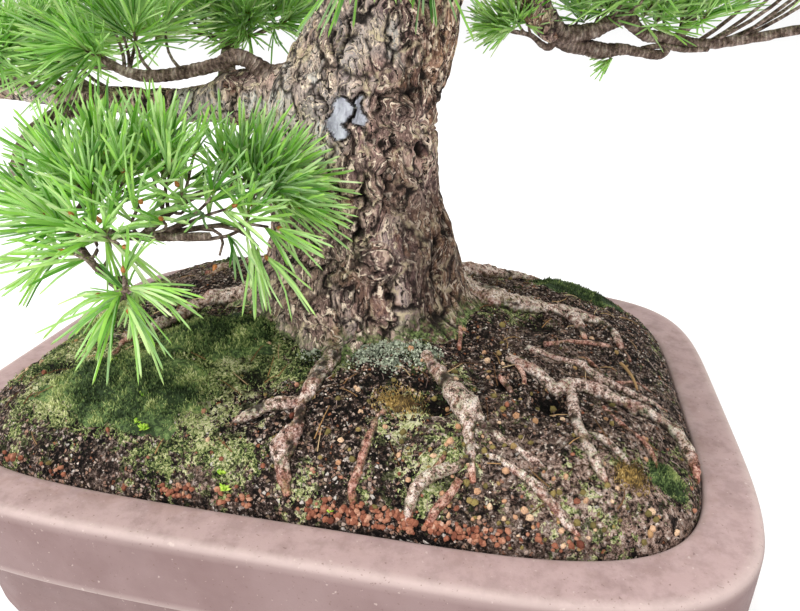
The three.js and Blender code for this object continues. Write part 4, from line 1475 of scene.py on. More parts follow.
def pebbles(
    middles: np.ndarray, sizes: np.ndarray, tones: np.ndarray, rng: np.random.Generator, round_ones: bool,
) -> Surface:
    """Many small grains: twenty-sided lumps or six-sided chips, stretched, turned and dented at random.

    Args:
        middles: Where each grain lies.
        sizes: Each grain's radius.
        tones: Each grain's place in its colour range.
        rng: The random source.
        round_ones: Twenty sides if true, and six if not.

    Returns:
        All grains as one surface.
    """
    shape, faces = (ICO_POINTS, ICO_FACES) if round_ones else (CHIP_POINTS, CHIP_FACES)
    count = len(middles)
    stretch = rng.uniform(0.72, 1.2, (count, 1, 3)) * sizes[:, None, None]
    dents = rng.uniform(0.8, 1.12, (count, len(shape), 1))
    local = shape[None] * stretch * dents
    first = unit(rng.normal(size=(count, 3)))
    second, third = across(first)
    turn = np.stack([first, second, third], axis=1)
    points = np.einsum("nvi,nij->nvj", local, turn) + middles[:, None]
    index = faces[None] + (np.arange(count) * len(shape))[:, None, None]
    mirrored = np.linalg.det(turn) < 0
    index[mirrored] = index[mirrored][:, :, ::-1]
    paint = {"tone": np.repeat(tones, len(shape))}
    return Surface(points.reshape(-1, 3), triangles=index.reshape(-1, 3), paint=paint)


def spikes(
    roots: np.ndarray, leans: np.ndarray, heights: np.ndarray, widths: np.ndarray, tones: np.ndarray,
    rng: np.random.Generator,
) -> Surface:
    """Many moss shoots at once, each a three-sided cone with a closed foot.

    Args:
        roots: Where each shoot stands.
        leans: Which way each points.
        heights: How long each is.
        widths: How wide each is at its foot.
        tones: Each shoot's place in its colour range; its tip is a little lighter.
        rng: The random source.

    Returns:
        All shoots as one surface.
    """
    count = len(roots)
    side, other = across(unit(leans))
    angle = rng.uniform(0, 2 * np.pi, count)[:, None] + np.arange(3)[None] * 2 * np.pi / 3
    ring = roots[:, None] + 0.5 * widths[:, None, None] * (
        np.cos(angle)[..., None] * side[:, None] + np.sin(angle)[..., None] * other[:, None]
    )
    tip = roots + heights[:, None] * unit(leans)
    points = np.concatenate([ring, tip[:, None]], axis=1).reshape(-1, 3)
    faces = np.array([[0, 1, 3], [1, 2, 3], [2, 0, 3], [0, 2, 1]])
    index = (faces[None] + (np.arange(count) * 4)[:, None, None]).reshape(-1, 3)
    tone = np.repeat(tones, 4).reshape(count, 4)
    tone[:, 3] += 0.25
    tone[:, :3] -= 0.15
    return Surface(points, triangles=index, paint={"tone": tone.ravel()})


@dataclass
class MossBed:
    """One cushion of moss that follows the soil, as its CAD node does, with its crowd of shoots."""

    node: str
    x: float
    y: float
    half_x: float
    half_y: float
    height: float
    golden: bool = False
    density: float = 1.1
    bright: float = 0.0
    rings: int = 14
    spokes: int = 48
    sunk: float = 2.6

    def build(self, material: bpy.types.Material, rng: np.random.Generator) -> None:
        """Adds the cushion: a lens pressed into the soil, bumpy on top, and shoots all over it."""
        core = 0.7 if self.golden else 1.0
        reach = np.linspace(0, 1, self.rings)[1:]
        angle = once_round(self.spokes)
        wobble = (
            1 + 0.15 * np.sin(3 * angle + self.x) + 0.1 * np.sin(7 * angle + self.y)
            + 0.06 * np.sin(13 * angle)
        )
        x = (self.x + core * self.half_x * reach[:, None] * (np.cos(angle) * wobble)[None]).ravel()
        y = (self.y + core * self.half_y * reach[:, None] * (np.sin(angle) * wobble)[None]).ravel()
        soil = ground_height(x, y)
        rise = self.height * (1 - reach**2)[:, None] ** 0.7
        upper = np.stack([x, y, soil + np.repeat(rise, self.spokes)], axis=1)
        upper[:, 2] += 1.3 * bumps(upper, 11.0, 3, 31) - 0.6 + RIM_Z
        lower = np.stack([x, y, soil + RIM_Z - self.sunk], axis=1)
        middle = ground_height(np.array([self.x]), np.array([self.y]))[0] + RIM_Z
        ends = np.array([[self.x, self.y, middle - self.sunk], [self.x, self.y, middle + self.height]])
        grid = (self.rings - 1, self.spokes, 3)
        stack = np.concatenate([lower.reshape(grid), upper.reshape(grid)[::-1]])
        cushion = Surface(*closed_tubes(stack[None], ends[:1], ends[1:]))
        cushion.paint["tone"] = 0.22 + self.bright + 0.4 * bumps(cushion.points, 12.0, 3, 33)
        count = int(math.pi * self.half_x * self.half_y * self.density)
        distance = rng.random(count) ** 0.6 * (1.35 if self.golden else 1.1)
        turn = rng.uniform(0, 2 * np.pi, count)
        px = self.x + self.half_x * distance * np.cos(turn)
        py = self.y + self.half_y * distance * np.sin(turn)
        lift = self.height * np.clip(1 - distance**2, 0, 1) ** 0.7
        roots = np.stack([px, py, ground_height(px, py) + RIM_Z + lift - 0.9], axis=1)
        leans = rng.normal(0, 0.35, (count, 3)) + UP
        tones = 0.36 + self.bright + 0.45 * bumps(roots, 12.0, 3, 33) + rng.normal(0, 0.1, count)
        slim = 0.6 if self.golden else 1.0
        shoots = spikes(
            roots, leans, rng.uniform(1.4, 3.0, count), slim * rng.uniform(0.8, 1.4, count), tones, rng
        )
        add_piece(
            f"{self.node}_cushion", joined([cushion, shoots]), material, (self.node,), smooth=False
        )


@dataclass
class GroundCover:
    """What grows and lies on the soil: moss, lichen, small plants, clay grains, crumbs and dead needles."""

    ground: Ground
    beds: tuple[MossBed, ...] = (
        MossBed("moss_deep_green", -66, -52, 34, 22, 4),
        MossBed("moss_front_left", -96, -98, 48, 24, 4),
        MossBed("moss_left_side", -168, 4, 20, 46, 4),
        MossBed("moss_golden_centre", 50, -87, 12, 9, 3, golden=True, density=1.6),
        MossBed("moss_bright_tuft", 179, -94, 9, 8, 3, density=2.2, bright=-0.05),
        MossBed("moss_golden_right", 161, -104, 8, 7, 4, golden=True, density=2.2),
        MossBed("moss_back_left", -88, 96, 48, 20, 4, density=0.6, bright=-0.15),
        MossBed("moss_back_right", 140, 92, 30, 22, 4, density=0.8, bright=-0.25),
    )
    tried_shoots: int = 110000
    tried_grains: int = 6000
    tried_crumbs: int = 26000
    tried_needles: int = 900
    tried_hairs: int = 4200

    def on_ground(self, x: np.ndarray, y: np.ndarray, sunk: np.ndarray | float = 0.0) -> np.ndarray:
        """Points on the crumbly surface, sunk by a depth."""
        return np.stack([x, y, ground_height(x, y) + RIM_Z - sunk], axis=1)

    def moss(self) -> None:
        """Adds the cushions, and loose moss shoots wherever the ground is green."""
        rng = np.random.default_rng(41)
        living = MossLeaf().make()
        golden = MossLeaf("moss_golden", ("#54432A", "#A0834A", "#D2B474", "#F4E2B0")).make()
        for bed in self.beds:
            bed.build(golden if bed.golden else living, rng)
        x, y = self.ground.scatter(
            self.tried_shoots, lambda px, py: ease(0.2, 0.8, self.ground.green(px, py)) * 0.42, rng
        )
        leans = rng.normal(0, 0.45, (len(x), 3)) + UP
        tones = 0.32 + 0.26 * self.ground.bright(x, y) + 0.3 * bumps(flat_points(x, y), 12.0, 3, 43)
        tones += rng.normal(0, 0.12, len(x))
        roots = self.on_ground(x, y, 0.5)
        loose = spikes(
            roots, leans, rng.uniform(1.0, 2.4, len(x)), rng.uniform(0.6, 1.3, len(x)), tones, rng
        )
        add_piece("moss_loose_shoots", loose, living, smooth=False)

    def grains(self) -> None:
        """Adds the clay grains: thick along the front edge, and thin over the bare right half."""
        rng = np.random.default_rng(47)
        bands = (
            (16, 68, 4.5, 130), (72, 110, 3.5, 80), (-58, -38, 3, 24), (-28, -10, 3, 18),
            (-150, -60, 2.5, 14), (112, 150, 3, 14), (-200, 200, 60, 26), (0, 70, 16, 20),
        )
        x = np.concatenate([rng.uniform(low, high, count) for low, high, _, count in bands])
        deep = np.concatenate([depth * rng.random(count) ** 1.3 for _, _, depth, count in bands])
        edge = (1 - np.abs(x / (HALF_LENGTH - RIM_WIDTH)) ** CORNER_POWER) ** (1 / CORNER_POWER)
        y = -(HALF_WIDTH - RIM_WIDTH - 1.2) * edge + deep
        orange = ClayGrain().make()
        tones = np.clip(rng.normal(0.42, 0.2, len(x)), 0, 1)
        sizes = rng.uniform(0.8, 1.8, len(x))
        packed = pebbles(self.on_ground(x, y, rng.uniform(-1.2, 0.2, len(x))), sizes, tones, rng, True)
        add_piece("akadama_grains", packed, orange, smooth=False)
        self.loose_grains(rng)

    def loose_grains(self, rng: np.random.Generator) -> None:
        """Adds single worn grains of tan, olive and cream, and a litter of small crumbs."""
        spots = (
            Patch(104, -78, 30, 22, 0.22), Patch(70, -112, 46, 18, 0.2), Patch(150, -120, 40, 16, 0.5),
            Patch(120, -134, 40, 6, 0.8), Patch(0, -60, 190, 110, 0.045), Patch(40, -66, 30, 20, 0.08),
        )
        x, y = self.ground.scatter(self.tried_grains, lambda px, py: total_weight(spots, px, py), rng, 0.5)
        worn = ClayGrain("clay_grain_worn", ("#5E5632", "#8E7E4C", "#BC8C6A", "#E0C0A0")).make()
        sizes = rng.uniform(0.9, 2.0, len(x))
        grains = pebbles(self.on_ground(x, y, -0.2), sizes, rng.random(len(x)), rng, True)
        add_piece("worn_grains", grains, worn, smooth=False)

        def bare(px: np.ndarray, py: np.ndarray) -> np.ndarray:
            """How likely a crumb lies at a spot: most on bare soil, and more on the right."""
            return np.clip(0.85 - self.ground.green(px, py), 0.12, 1) * (0.45 + 0.4 * ease(-40, 60, px))

        x, y = self.ground.scatter(self.tried_crumbs, bare, rng, 0.5)
        crumb = ClayGrain("humus_crumb", ("#0C0807", "#3A2A22", "#A08878", "#F2E4D8")).make()
        sizes = rng.uniform(0.4, 1.15, len(x))
        crumbs = pebbles(self.on_ground(x, y, 0.1), sizes, rng.beta(0.5, 0.95, len(x)), rng, False)
        add_piece("humus_crumbs", crumbs, crumb, smooth=False)

    def lichen(self) -> None:
        """Adds the pale lichen at the trunk's foot: small curled lobes crowded into rosettes."""
        rng = np.random.default_rng(53)
        spots = [
            (19, -48, 8), (30, -50, 9), (40, -51, 9), (52, -55, 7), (34, -44, 8), (24, -57, 7),
            (-6, -58, 5), (45, -42, 7), (26, -41, 7), (60, -50, 5), (38, -60, 6),
        ]
        middle = np.concatenate([
            rng.normal([x, y], size * 0.6, (int(size * 26), 2)) for x, y, size in spots
        ])
        count = len(middle)
        foot = self.on_ground(middle[:, 0], middle[:, 1], 0.2)
        lean = unit(rng.normal(0, 0.7, (count, 3)) + np.array([0, -0.3, 1.0]))
        size = rng.uniform(0.8, 2.0, count)
        lobes = self.leaves(foot, lean, size, size * 0.9, 0.5, rng)
        lobes.paint["tone"] = np.repeat(np.clip(rng.normal(0.6, 0.25, count), 0, 1), LEAF_POINTS)
        finish = MossLeaf("lichen_pale_foliose", ("#4A5244", "#858D7B", "#B3BAA4", "#D8DCC8")).make()
        add_piece("lichen_rosettes", lobes, finish, smooth=False)

    def leaves(
        self, foot: np.ndarray, lean: np.ndarray, length: np.ndarray, width: np.ndarray, cup: float,
        rng: np.random.Generator,
    ) -> Surface:
        """Many small thick leaves or lobes, each a cupped lens: two shells of six rim points and a middle.

        Args:
            foot: Where each leaf is attached.
            lean: Which way each grows.
            length: How long each is.
            width: How wide each is.
            cup: How much the rim curls up, as a share of the width.
            rng: The random source.

        Returns:
            All leaves as one surface.
        """
        count = len(foot)
        side, face = across(lean)
        turn = rng.uniform(0, 2 * np.pi, count)[:, None]
        side, face = np.cos(turn) * side + np.sin(turn) * face, np.cos(turn) * face - np.sin(turn) * side
        angle = once_round(LEAF_POINTS - 2)
        middle = foot + 0.5 * length[:, None] * lean
        rim = middle[:, None] + 0.5 * (
            np.cos(angle)[None, :, None] * (length[:, None] * lean)[:, None]
            + np.sin(angle)[None, :, None] * (width[:, None] * side)[:, None]
        )
        rim = rim + (cup * width)[:, None, None] * face[:, None] * (np.sin(angle) ** 2)[None, :, None]
        upper = middle + 0.12 * width[:, None] * face
        lower = middle - 0.18 * width[:, None] * face
        points = np.concatenate([rim, upper[:, None], lower[:, None]], axis=1)
        k = np.arange(LEAF_POINTS - 2)
        after = np.roll(k, -1)
        faces = np.concatenate([
            np.stack([k, after, np.full_like(k, LEAF_POINTS - 2)], axis=1),
            np.stack([after, k, np.full_like(k, LEAF_POINTS - 1)], axis=1),
        ])
        handed = np.einsum("ni,ni->n", np.cross(lean, side), face) > 0
        index = faces[None] + (np.arange(count) * LEAF_POINTS)[:, None, None]
        index = np.where(handed[:, None, None], index, index[:, :, ::-1])
        return Surface(points.reshape(-1, 3), triangles=index.reshape(-1, 3))

    def small_plants(self) -> None:
        """Adds the lime-green plantlets that come up through the moss."""
        rng = np.random.default_rng(59)
        spots = [
            (-24, -137, 4.5), (-27, -133, 3), (-74, -120, 4.5), (-83, -102, 4), (-79, -117, 3),
            (-112, -84, 3.5), (28, -138, 2.5),
        ]
        leaves = 9
        turn = np.arange(leaves) * GOLDEN_ANGLE
        tilt = np.linspace(1.2, 0.35, leaves)
        one = np.stack([np.cos(turn) * np.sin(tilt), np.sin(turn) * np.sin(tilt), np.cos(tilt)], axis=1)
        lean = np.tile(one, (len(spots), 1))
        x, y, reach = np.repeat(np.array(spots, float), leaves, axis=0).T
        foot = self.on_ground(x, y, -0.6)
        size = np.tile(np.linspace(1, 0.6, leaves), len(spots)) * reach * rng.uniform(0.85, 1.1, len(reach))
        leaf = self.leaves(foot, lean, size, size * 0.8, 0.12, rng)
        leaf.paint["tone"] = np.repeat(np.clip(rng.normal(0.7, 0.15, len(foot)), 0, 1), LEAF_POINTS)
        finish = MossLeaf("plantlet_lime", ("#4E7A1E", "#76A82C", "#A3CC3F", "#CFE56C")).make()
        add_piece("lime_plantlets", leaf, finish, smooth=True)

    def litter(self) -> None:
        """Adds fallen needles, a dry twig and root hairs."""
        rng = np.random.default_rng(61)
        x, y = self.ground.scatter(self.tried_needles, lambda px, py: np.full_like(px, 0.22), rng, 8)
        turn = rng.uniform(0, np.pi, len(x))
        reach = rng.uniform(6, 16, len(x))
        ex, ey = x + reach * np.cos(turn), y + reach * np.sin(turn)
        inside = out_from_middle(ex, ey) < 0.96
        x, y, ex, ey = x[inside], y[inside], ex[inside], ey[inside]
        mx, my = self.halfway(x, ex, 1.5, rng), self.halfway(y, ey, 1.5, rng)
        sides, rows = 3, 4
        fallen = threads(
            self.on_ground(x, y, -0.7), self.on_ground(mx, my, -2.2), self.on_ground(ex, ey, -0.6),
            np.full(len(x), 0.35), np.full(len(x), 0.2), sides, rows,
        )
        start, bend, end = (
            self.on_ground(np.array([px]), np.array([py]), sunk)
            for px, py, sunk in ((164.0, -8.0, -2.5), (170.0, -18.0, -4.0), (171.0, -31.0, -1.5))
        )
        twig = threads(start, bend, end, np.array([1.0]), np.array([0.7]), 7, 9)
        fallen.paint["tone"] = np.repeat(rng.random(len(x)), rows * sides + 2)
        twig.paint["tone"] = np.full(len(twig.points), 0.75)
        dry = ClayGrain("litter_dry_needle", ("#3A2A1E", "#6E4E32", "#A07C52", "#C9B08A")).make()
        add_piece("fallen_needles", joined([fallen, twig]), dry, smooth=False)
        hairs = ClayGrain("litter_root_hair", ("#241A17", "#5A4540", "#8C736B", "#BFA89E")).make()
        add_piece("root_hairs", self.root_hairs(rng), hairs, smooth=False)

    def root_hairs(self, rng: np.random.Generator) -> Surface:
        """Thin wiry rootlets, 3 to 9 mm long, that lie about on the bare soil."""
        x, y = self.ground.scatter(self.tried_hairs, lambda px, py: 0.08 + 0.4 * ease(20, 90, px), rng, 5)
        turn = rng.uniform(0, 2 * np.pi, len(x))
        reach = rng.uniform(3, 9, len(x))
        ex, ey = x + reach * np.cos(turn), y + reach * np.sin(turn)
        mx, my = self.halfway(x, ex, 1.2, rng), self.halfway(y, ey, 1.2, rng)
        sides, rows = 3, 3
        hairs = threads(
            self.on_ground(x, y, 0.2), self.on_ground(mx, my, -1.4), self.on_ground(ex, ey, 0.3),
            rng.uniform(0.14, 0.3, len(x)), rng.uniform(0.08, 0.16, len(x)), sides, rows,
        )
        hairs.paint["tone"] = np.repeat(rng.random(len(x)), rows * sides + 2)
        return hairs

    def halfway(
        self, first: np.ndarray, last: np.ndarray, stray: float, rng: np.random.Generator
    ) -> np.ndarray:
        """Halfway between two coordinates, but for a random stray in millimetres."""
        return (first + last) / 2 + rng.normal(0, stray, len(first))

    def build(self) -> None:
        """Adds everything that grows or lies on the soil."""
        self.moss()
        self.grains()
        self.lichen()
        self.small_plants()
        self.litter()


# Wood


@dataclass(frozen=True)
class Scar:
    """A feature of the bark at a point: it swells or sinks by some millimetres within a reach.

    It may show bare wood, be an open hole, have layers that run round it, or a furrow above it that is
    painted near-black as its shadow.
    """

    at: tuple[float, float, float]
    reach: tuple[float, float, float]
    swell: float
    bare: float = 0.0
    crack: float = 0.0
    swirl: float = 0.0
    shadow: float = 0.0

    def away(self, points: np.ndarray) -> np.ndarray:
        """How far points are from its middle, in reaches."""
        return np.linalg.norm((points - (np.array(self.at) + RIM_LIFT)) / np.array(self.reach), axis=1)

    def weight(self, points: np.ndarray) -> np.ndarray:
        """1 near the point, falling smoothly to 0 past the reach."""
        return ease(1.15, 0.5, self.away(points))

    def cone(self, points: np.ndarray) -> np.ndarray:
        """1.15 at the point, falling evenly to 0 past the reach, so that contour lines are even rings."""
        return np.maximum(1.15 - self.away(points), 0.0)


@dataclass(frozen=True)
class Flare:
    """Where the trunk runs out into a root: its bearing in degrees from +X, half width and reach."""

    bearing: float
    half_width: float
    reach: float


@dataclass
class Trunk:
    """The trunk: a smooth tapering column that flares into the roots, under cracked and flaking bark."""

    split: float = 236.0
    overlap: float = 2.0
    foot_cut: float = 12.0
    lower_rows: int = 252
    lower_sides: int = 276
    upper_rows: int = 150
    upper_sides: int = 132
    scars: tuple[Scar, ...] = (
        Scar((7.5, -30, 168), (6.6, 14, 9), -0.6, bare=1.0),
        Scar((5, -31, 159), (6.0, 14, 8), -0.6, bare=1.0),
        Scar((17, -29, 167), (3.4, 14, 10), -0.4, bare=0.85),
        Scar((1, -20, 206), (5, 12, 15), -0.4, bare=0.45),
        Scar((35, -21, 165), (13, 13, 12), 6.0, swirl=3.4, shadow=1.0),
        Scar((35, -21, 166), (3.2, 9, 3.2), -3.0, crack=0.55),
        Scar((29, -27, 133), (11, 12, 12), 2.4, swirl=2.0),
        Scar((38, -20, 123), (9, 11, 10), 2.4, swirl=1.8),
        Scar((24, -33, 88), (12, 12, 12), 1.8, swirl=2.0),
        Scar((41, -14, 152), (7, 8, 6), 2.6, swirl=1.0),
        Scar((45, -8, 145), (4.5, 9, 6), -6.0, crack=1.0),
        Scar((49, -2, 126), (9, 16, 20), 2.0),
        Scar((-3, -29, 170), (2.2, 12, 7), -4.5, crack=0.95),
        Scar((9, -21, 202), (1.8, 12, 13), -3.5, crack=0.8),
        Scar((12, -32, 150), (1.6, 12, 7), -3.0, crack=0.85),
        Scar((16, -34, 128), (1.7, 12, 15), -3.4, crack=0.85),
        Scar((14, -37, 106), (1.6, 12, 9), -3.0, crack=0.8),
        Scar((12, -37, 98), (13, 12, 1.5), -2.6, crack=0.7),
        Scar((54, -6, 82), (2.6, 10, 20), -5.0, crack=0.95),
        Scar((47, -14, 66), (2.2, 10, 16), -4.0, crack=0.9),
        Scar((62, 0, 96), (8, 14, 24), 2.6),
        Scar((-40, -14, 60), (16, 14, 14), 4.0),
        Scar((-20, -38, 58), (10, 12, 10), 3.0),
        Scar((34, -36, 62), (14, 12, 12), 2.0),
    )
    flares: tuple[Flare, ...] = (
        Flare(10, 24, 20), Flare(-25, 14, 9), Flare(-52, 14, 9), Flare(-88, 13, 8), Flare(-128, 20, 9),
        Flare(186, 22, 16), Flare(142, 20, 13), Flare(98, 20, 13), Flare(50, 20, 13),
    )

    def bearing(self, points: np.ndarray) -> np.ndarray:
        """Degrees round the trunk's own axis: 0 is towards +X, and -90 faces the viewer."""
        route = np.array(TRUNK_ROUTE, float)
        middle = [np.interp(points[:, 2] - RIM_Z, route[:, 2], route[:, k]) for k in (0, 1)]
        return np.degrees(np.arctan2(points[:, 1] - middle[1], points[:, 0] - middle[0]))

    def zones(self, plain: np.ndarray) -> dict[str, np.ndarray]:
        """Where the bark is fibrous, silvery grey or olive, as numbers from 0 to 1."""
        turn, height = self.bearing(plain), plain[:, 2] - RIM_Z
        patchy = bumps(plain, 38.0, 2, 131)
        right = ease(-52, -26, turn) * ease(62, 34, turn)
        low_right = right * ease(28, 48, height) * ease(124, 104, height)
        high_right = ease(-66, -40, turn) * ease(40, 10, turn) * ease(160, 182, height)
        behind = ease(90, 120, np.abs(turn + 90)) * ease(0.1, 0.4, patchy)
        front_left = ease(-168, -145, turn) * ease(-74, -96, turn)
        wide_left = ease(-175, -150, turn) * ease(-66, -90, turn)
        return {
            "fibre": np.clip(
                low_right + 0.8 * high_right + 0.8 * behind + ease(0.35, 0.6, patchy) * 0.5, 0, 1
            ),
            "grey": np.clip(
                front_left * ease(128, 150, height) + 0.8 * ease(0.3, 0.6, -patchy) * (height > 150), 0, 1
            ),
            "olive": np.clip(
                wide_left * ease(20, 36, height) * ease(140, 112, height) + ease(0.3, 0.6, -patchy) * 0.4,
                0, 1,
            ),
        }

    def relief(self, plain: np.ndarray, along: np.ndarray) -> tuple[np.ndarray, dict[str, np.ndarray]]:
        """How far the bark stands out, and its paint.

        The plain surface is warped by soft bumps, so that borders wander, and then split into plates 15 mm
        wide and flakes 7 mm wide, both about twice as tall. Each stands at its own height and is tilted, so
        that one edge overhangs the next; only some borders open into cracks. Between them the cork lies in
        steps like contour lines. In the fibrous zones, strips 8 mm wide and 60 mm long take over from the
        plates.

        Args:
            plain: Points on the smooth trunk.
            along: Lengths along the trunk; not used.

        Returns:
            The push outwards in millimetres, and numbers for crack, tone, burl, lip, bare, mossy, dark and
            the zones; dark is partly bark colour and partly painted shade on the lower right.
        """
        height = plain[:, 2] - RIM_Z
        slow, quick = self.warp(plain, 24.0, 61), self.warp(plain, 7.0, 67)
        bent = plain + 8.0 * slow + 2.6 * quick
        big = plates(bent, [15.0, 15.0, 32.0], 71)
        small = plates(bent + 2.0 * quick[:, ::-1], [7.0, 7.0, 13.0], 83)
        strips = plates(plain + 3.0 * slow + 1.2 * quick, [8.0, 8.0, 60.0], 89)
        zones = self.zones(plain)
        fibre, bearing = zones["fibre"], self.bearing(plain)
        tilt = big.offset[:, 2] * (1.4 - 2.8 * big.tone) + big.offset[:, 0] * (big.tone - 0.5) * 2.0
        flake_tilt = small.offset[:, 2] * (1.4 - 2.4 * small.tone)
        open_here = ease(0.0, 0.35, bumps(plain, 22.0, 2, 91))
        crack = np.exp(-((big.gap / 0.07) ** 2)) * open_here
        groove = np.exp(-((strips.gap / 0.12) ** 2)) * ease(
            -0.5, 0.1, bumps(plain, [9.0, 9.0, 30.0], 2, 93)
        )
        level = (bumps(bent, [14.0, 14.0, 32.0], 2, 97) * 0.5 + 0.5) * 6 + self.swirl(bent)
        part = level - np.floor(level)
        steps = np.floor(level) + ease(0.0, 0.3, part) - 3.0
        plated = 1.4 * (big.tone - 0.5) + 1.5 * tilt + 0.9 * flake_tilt + 0.8 * steps - 2.8 * crack
        stranded = 3.2 * (strips.tone - 0.5) - 5.4 * groove + 0.9 * quick[:, 0]
        scale = np.interp(height, [0, 200, 400, 532], [1.0, 1.0, 0.6, 0.25])
        push = scale * (plated * (1 - fibre) + stranded * fibre + 1.5 * bumps(plain, 34.0, 2, 101))
        push, bare, deep = self.scarred(push, plain + 3.0 * quick + 1.5 * slow, height, quick)
        burl = np.clip(ease(0.05, 0.5, self.swirl(plain)), 0, 1)
        ground = height - soil_height(plain[:, 0], plain[:, 1])
        push += self.foot(plain, ground)
        lip_here = ease(0.26, 0.12, small.gap) * ease(0.1, 0.5, flake_tilt)
        lip_here = lip_here + ease(0.2, 0.1, big.gap) * ease(0.1, 0.5, tilt)
        opened = ease(0.3, 0.75, crack * (1 - fibre) + groove * fibre)
        paint = {
            "crack": np.clip(0.95 * opened * (1 - bare) + deep, 0, 1),
            "tone": big.tone * (1 - burl) + 0.42 * self.swirl(plain + 4.5 * quick + 2.0 * slow),
            "burl": burl,
            # The trunk's lower right, fading out from 104 to 150 mm: partly bark colour, partly painted
            # shade.
            "dark": ease(150, 104, height) * ease(-66, -44, bearing) * ease(40, 10, bearing),
            "lip": np.clip(lip_here, 0, 1) * (1 - opened),
            "bare": bare,
            "mossy": np.clip(ease(15, 1, ground + 6 * slow[:, 0]), 0, 1),
            **zones,
        }
        return push, paint

    def warp(self, points: np.ndarray, width: float, seed: int) -> np.ndarray:
        """Soft bumps in three directions, by which a pattern is bent."""
        return np.stack([bumps(points, width, 2, seed + k) for k in range(3)], axis=1)

    def scarred(
        self, push: np.ndarray, bent: np.ndarray, height: np.ndarray, quick: np.ndarray
    ) -> tuple[np.ndarray, np.ndarray, np.ndarray]:
        """Lets each scar swell or sink the bark, with torn bark round bare wood and furrows above burls.

        Args:
            push: How far the bark stands out without scars.
            bent: The points, bent by both warps.
            height: Their heights above the rim.
            quick: The finer warp, by which the furrows wander.

        Returns:
            The push with scars, how bare the wood is, and how deep the bark is open.
        """
        bare, deep = np.zeros(len(bent)), np.zeros(len(bent))
        for scar in self.scars:
            weight = scar.weight(bent)
            push = push * (1 - 0.85 * weight * scar.bare) + scar.swell * weight
            bare = np.maximum(bare, scar.bare * weight)
            deep = np.maximum(deep, scar.crack * ease(0.3, 0.8, weight))
            over = scar.shadow * ease(-4.0, 3.0, height - scar.at[2] + quick[:, 0])
            furrow = over * ease(0.02, 0.12, weight) * ease(0.45, 0.25, weight)
            push -= 3.4 * furrow
            # Painted shadow: the furrow above a burl is painted near-black through the crack paint.
            deep = np.maximum(deep, 0.9 * furrow)
        torn = ease(0.02, 0.15, bare) * ease(0.5, 0.3, bare) * ease(-0.35, 0.0, quick[:, 1])
        return push - 2.4 * torn, ease(0.4, 0.6, bare), np.maximum(deep, torn)

    def swirl(self, points: np.ndarray) -> np.ndarray:
        """How many layers the bark climbs towards the middle of each burl, so that they run round it."""
        return sum(
            (scar.swirl * scar.cone(points) for scar in self.scars if scar.swirl), np.zeros(len(points))
        )

    def foot(self, plain: np.ndarray, ground: np.ndarray) -> np.ndarray:
        """How far the flares push out: each a bell curve round its bearing that dies away up the trunk."""
        turn = self.bearing(plain)
        total = np.zeros(len(plain))
        for flare in self.flares:
            away = (turn - flare.bearing + 180) % 360 - 180
            total += flare.reach * np.exp(-((away / flare.half_width) ** 2))
        return total * np.exp(-np.maximum(ground, -6.0) / 11.0)

    def build(self, bark: bpy.types.Material) -> None:
        """Adds the trunk in two lengths, of which the lower has finer bark."""
        fine, _ = spline(from_table(TRUNK_ROUTE), 900)
        split = RIM_Z + self.split
        for name, low, high, rows, sides in (
            ("trunk_lower", fine[0, 2] + self.foot_cut, split, self.lower_rows, self.lower_sides),
            ("trunk_upper", split - self.overlap, fine[-1, 2], self.upper_rows, self.upper_sides),
        ):
            wanted = np.linspace(low, high, rows)
            rings = np.stack([np.interp(wanted, fine[:, 2], fine[:, k]) for k in range(4)], axis=1)
            add_piece(name, tube(rings, rows, sides, self.relief), bark, ("trunk",))


@dataclass
class Branch:
    """A branch of the CAD node of its name: its runs as tubes with ringed, scaly bark."""

    node: str
    ring_spacing: float
    old_spacing: float = 1.5
    old_sides: int = 96
    full_relief: float = 22.0
    sides_per_mm: float = 2.4

    def relief_for(self, rows: np.ndarray, length: np.ndarray) -> Relief:
        """Gives a run's rings of needle scars every 3 mm, lumps of 12 mm, and cracks where it is thick."""

        def relief(plain: np.ndarray, along: np.ndarray) -> tuple[np.ndarray, dict[str, np.ndarray]]:
            """Bark relief that grows with the radius, with cracks between plates of 8 mm."""
            lumps = bumps(plain, 12.0, 3, 111)
            scales = plates(plain + 3 * lumps[:, None], [8.0, 8.0, 8.0], 113)
            crack = np.exp(-((scales.gap / 0.12) ** 2))
            thick = np.interp(along, length, rows[:, 3])
            rings = np.sin(2.1 * along + 3 * lumps)
            push = thick * (0.10 * lumps + 0.035 * rings - 0.09 * crack + 0.07 * (scales.tone - 0.5))
            return push, {"crack": ease(0.35, 0.9, crack) * ease(3.5, 8.0, thick), "along": along}

        return relief

    def run(self, route: list[list[float]]) -> Surface:
        """One run of the branch."""
        rows = from_table(route)
        length = lengths_along(rows)
        count = max(12, int(length[-1] / self.ring_spacing))
        sides = int(np.clip(rows[:, 3].max() * self.sides_per_mm, 8, 34))
        return tube(rows, count, sides, self.relief_for(rows, length))

    def surface(self, old: bool = False) -> Surface:
        """All runs of the branch, without the first where that is old wood."""
        return joined([self.run(route) for route in BRANCH_ROUTES[self.node][1 if old else 0 :]])

    def old_wood(self, trunk: Trunk) -> Surface:
        """The branch's first run, whose bark is as old as the trunk's and as deep where it is as thick."""
        rows = from_table(BRANCH_ROUTES[self.node][0])
        length = lengths_along(rows)

        def relief(plain: np.ndarray, along: np.ndarray) -> tuple[np.ndarray, dict[str, np.ndarray]]:
            """The trunk's relief, shallower on the thin end."""
            push, paint = trunk.relief(plain, along)
            return push * np.minimum(1.0, np.interp(along, length, rows[:, 3]) / self.full_relief), paint

        return tube(rows, int(length[-1] / self.old_spacing), self.old_sides, relief)


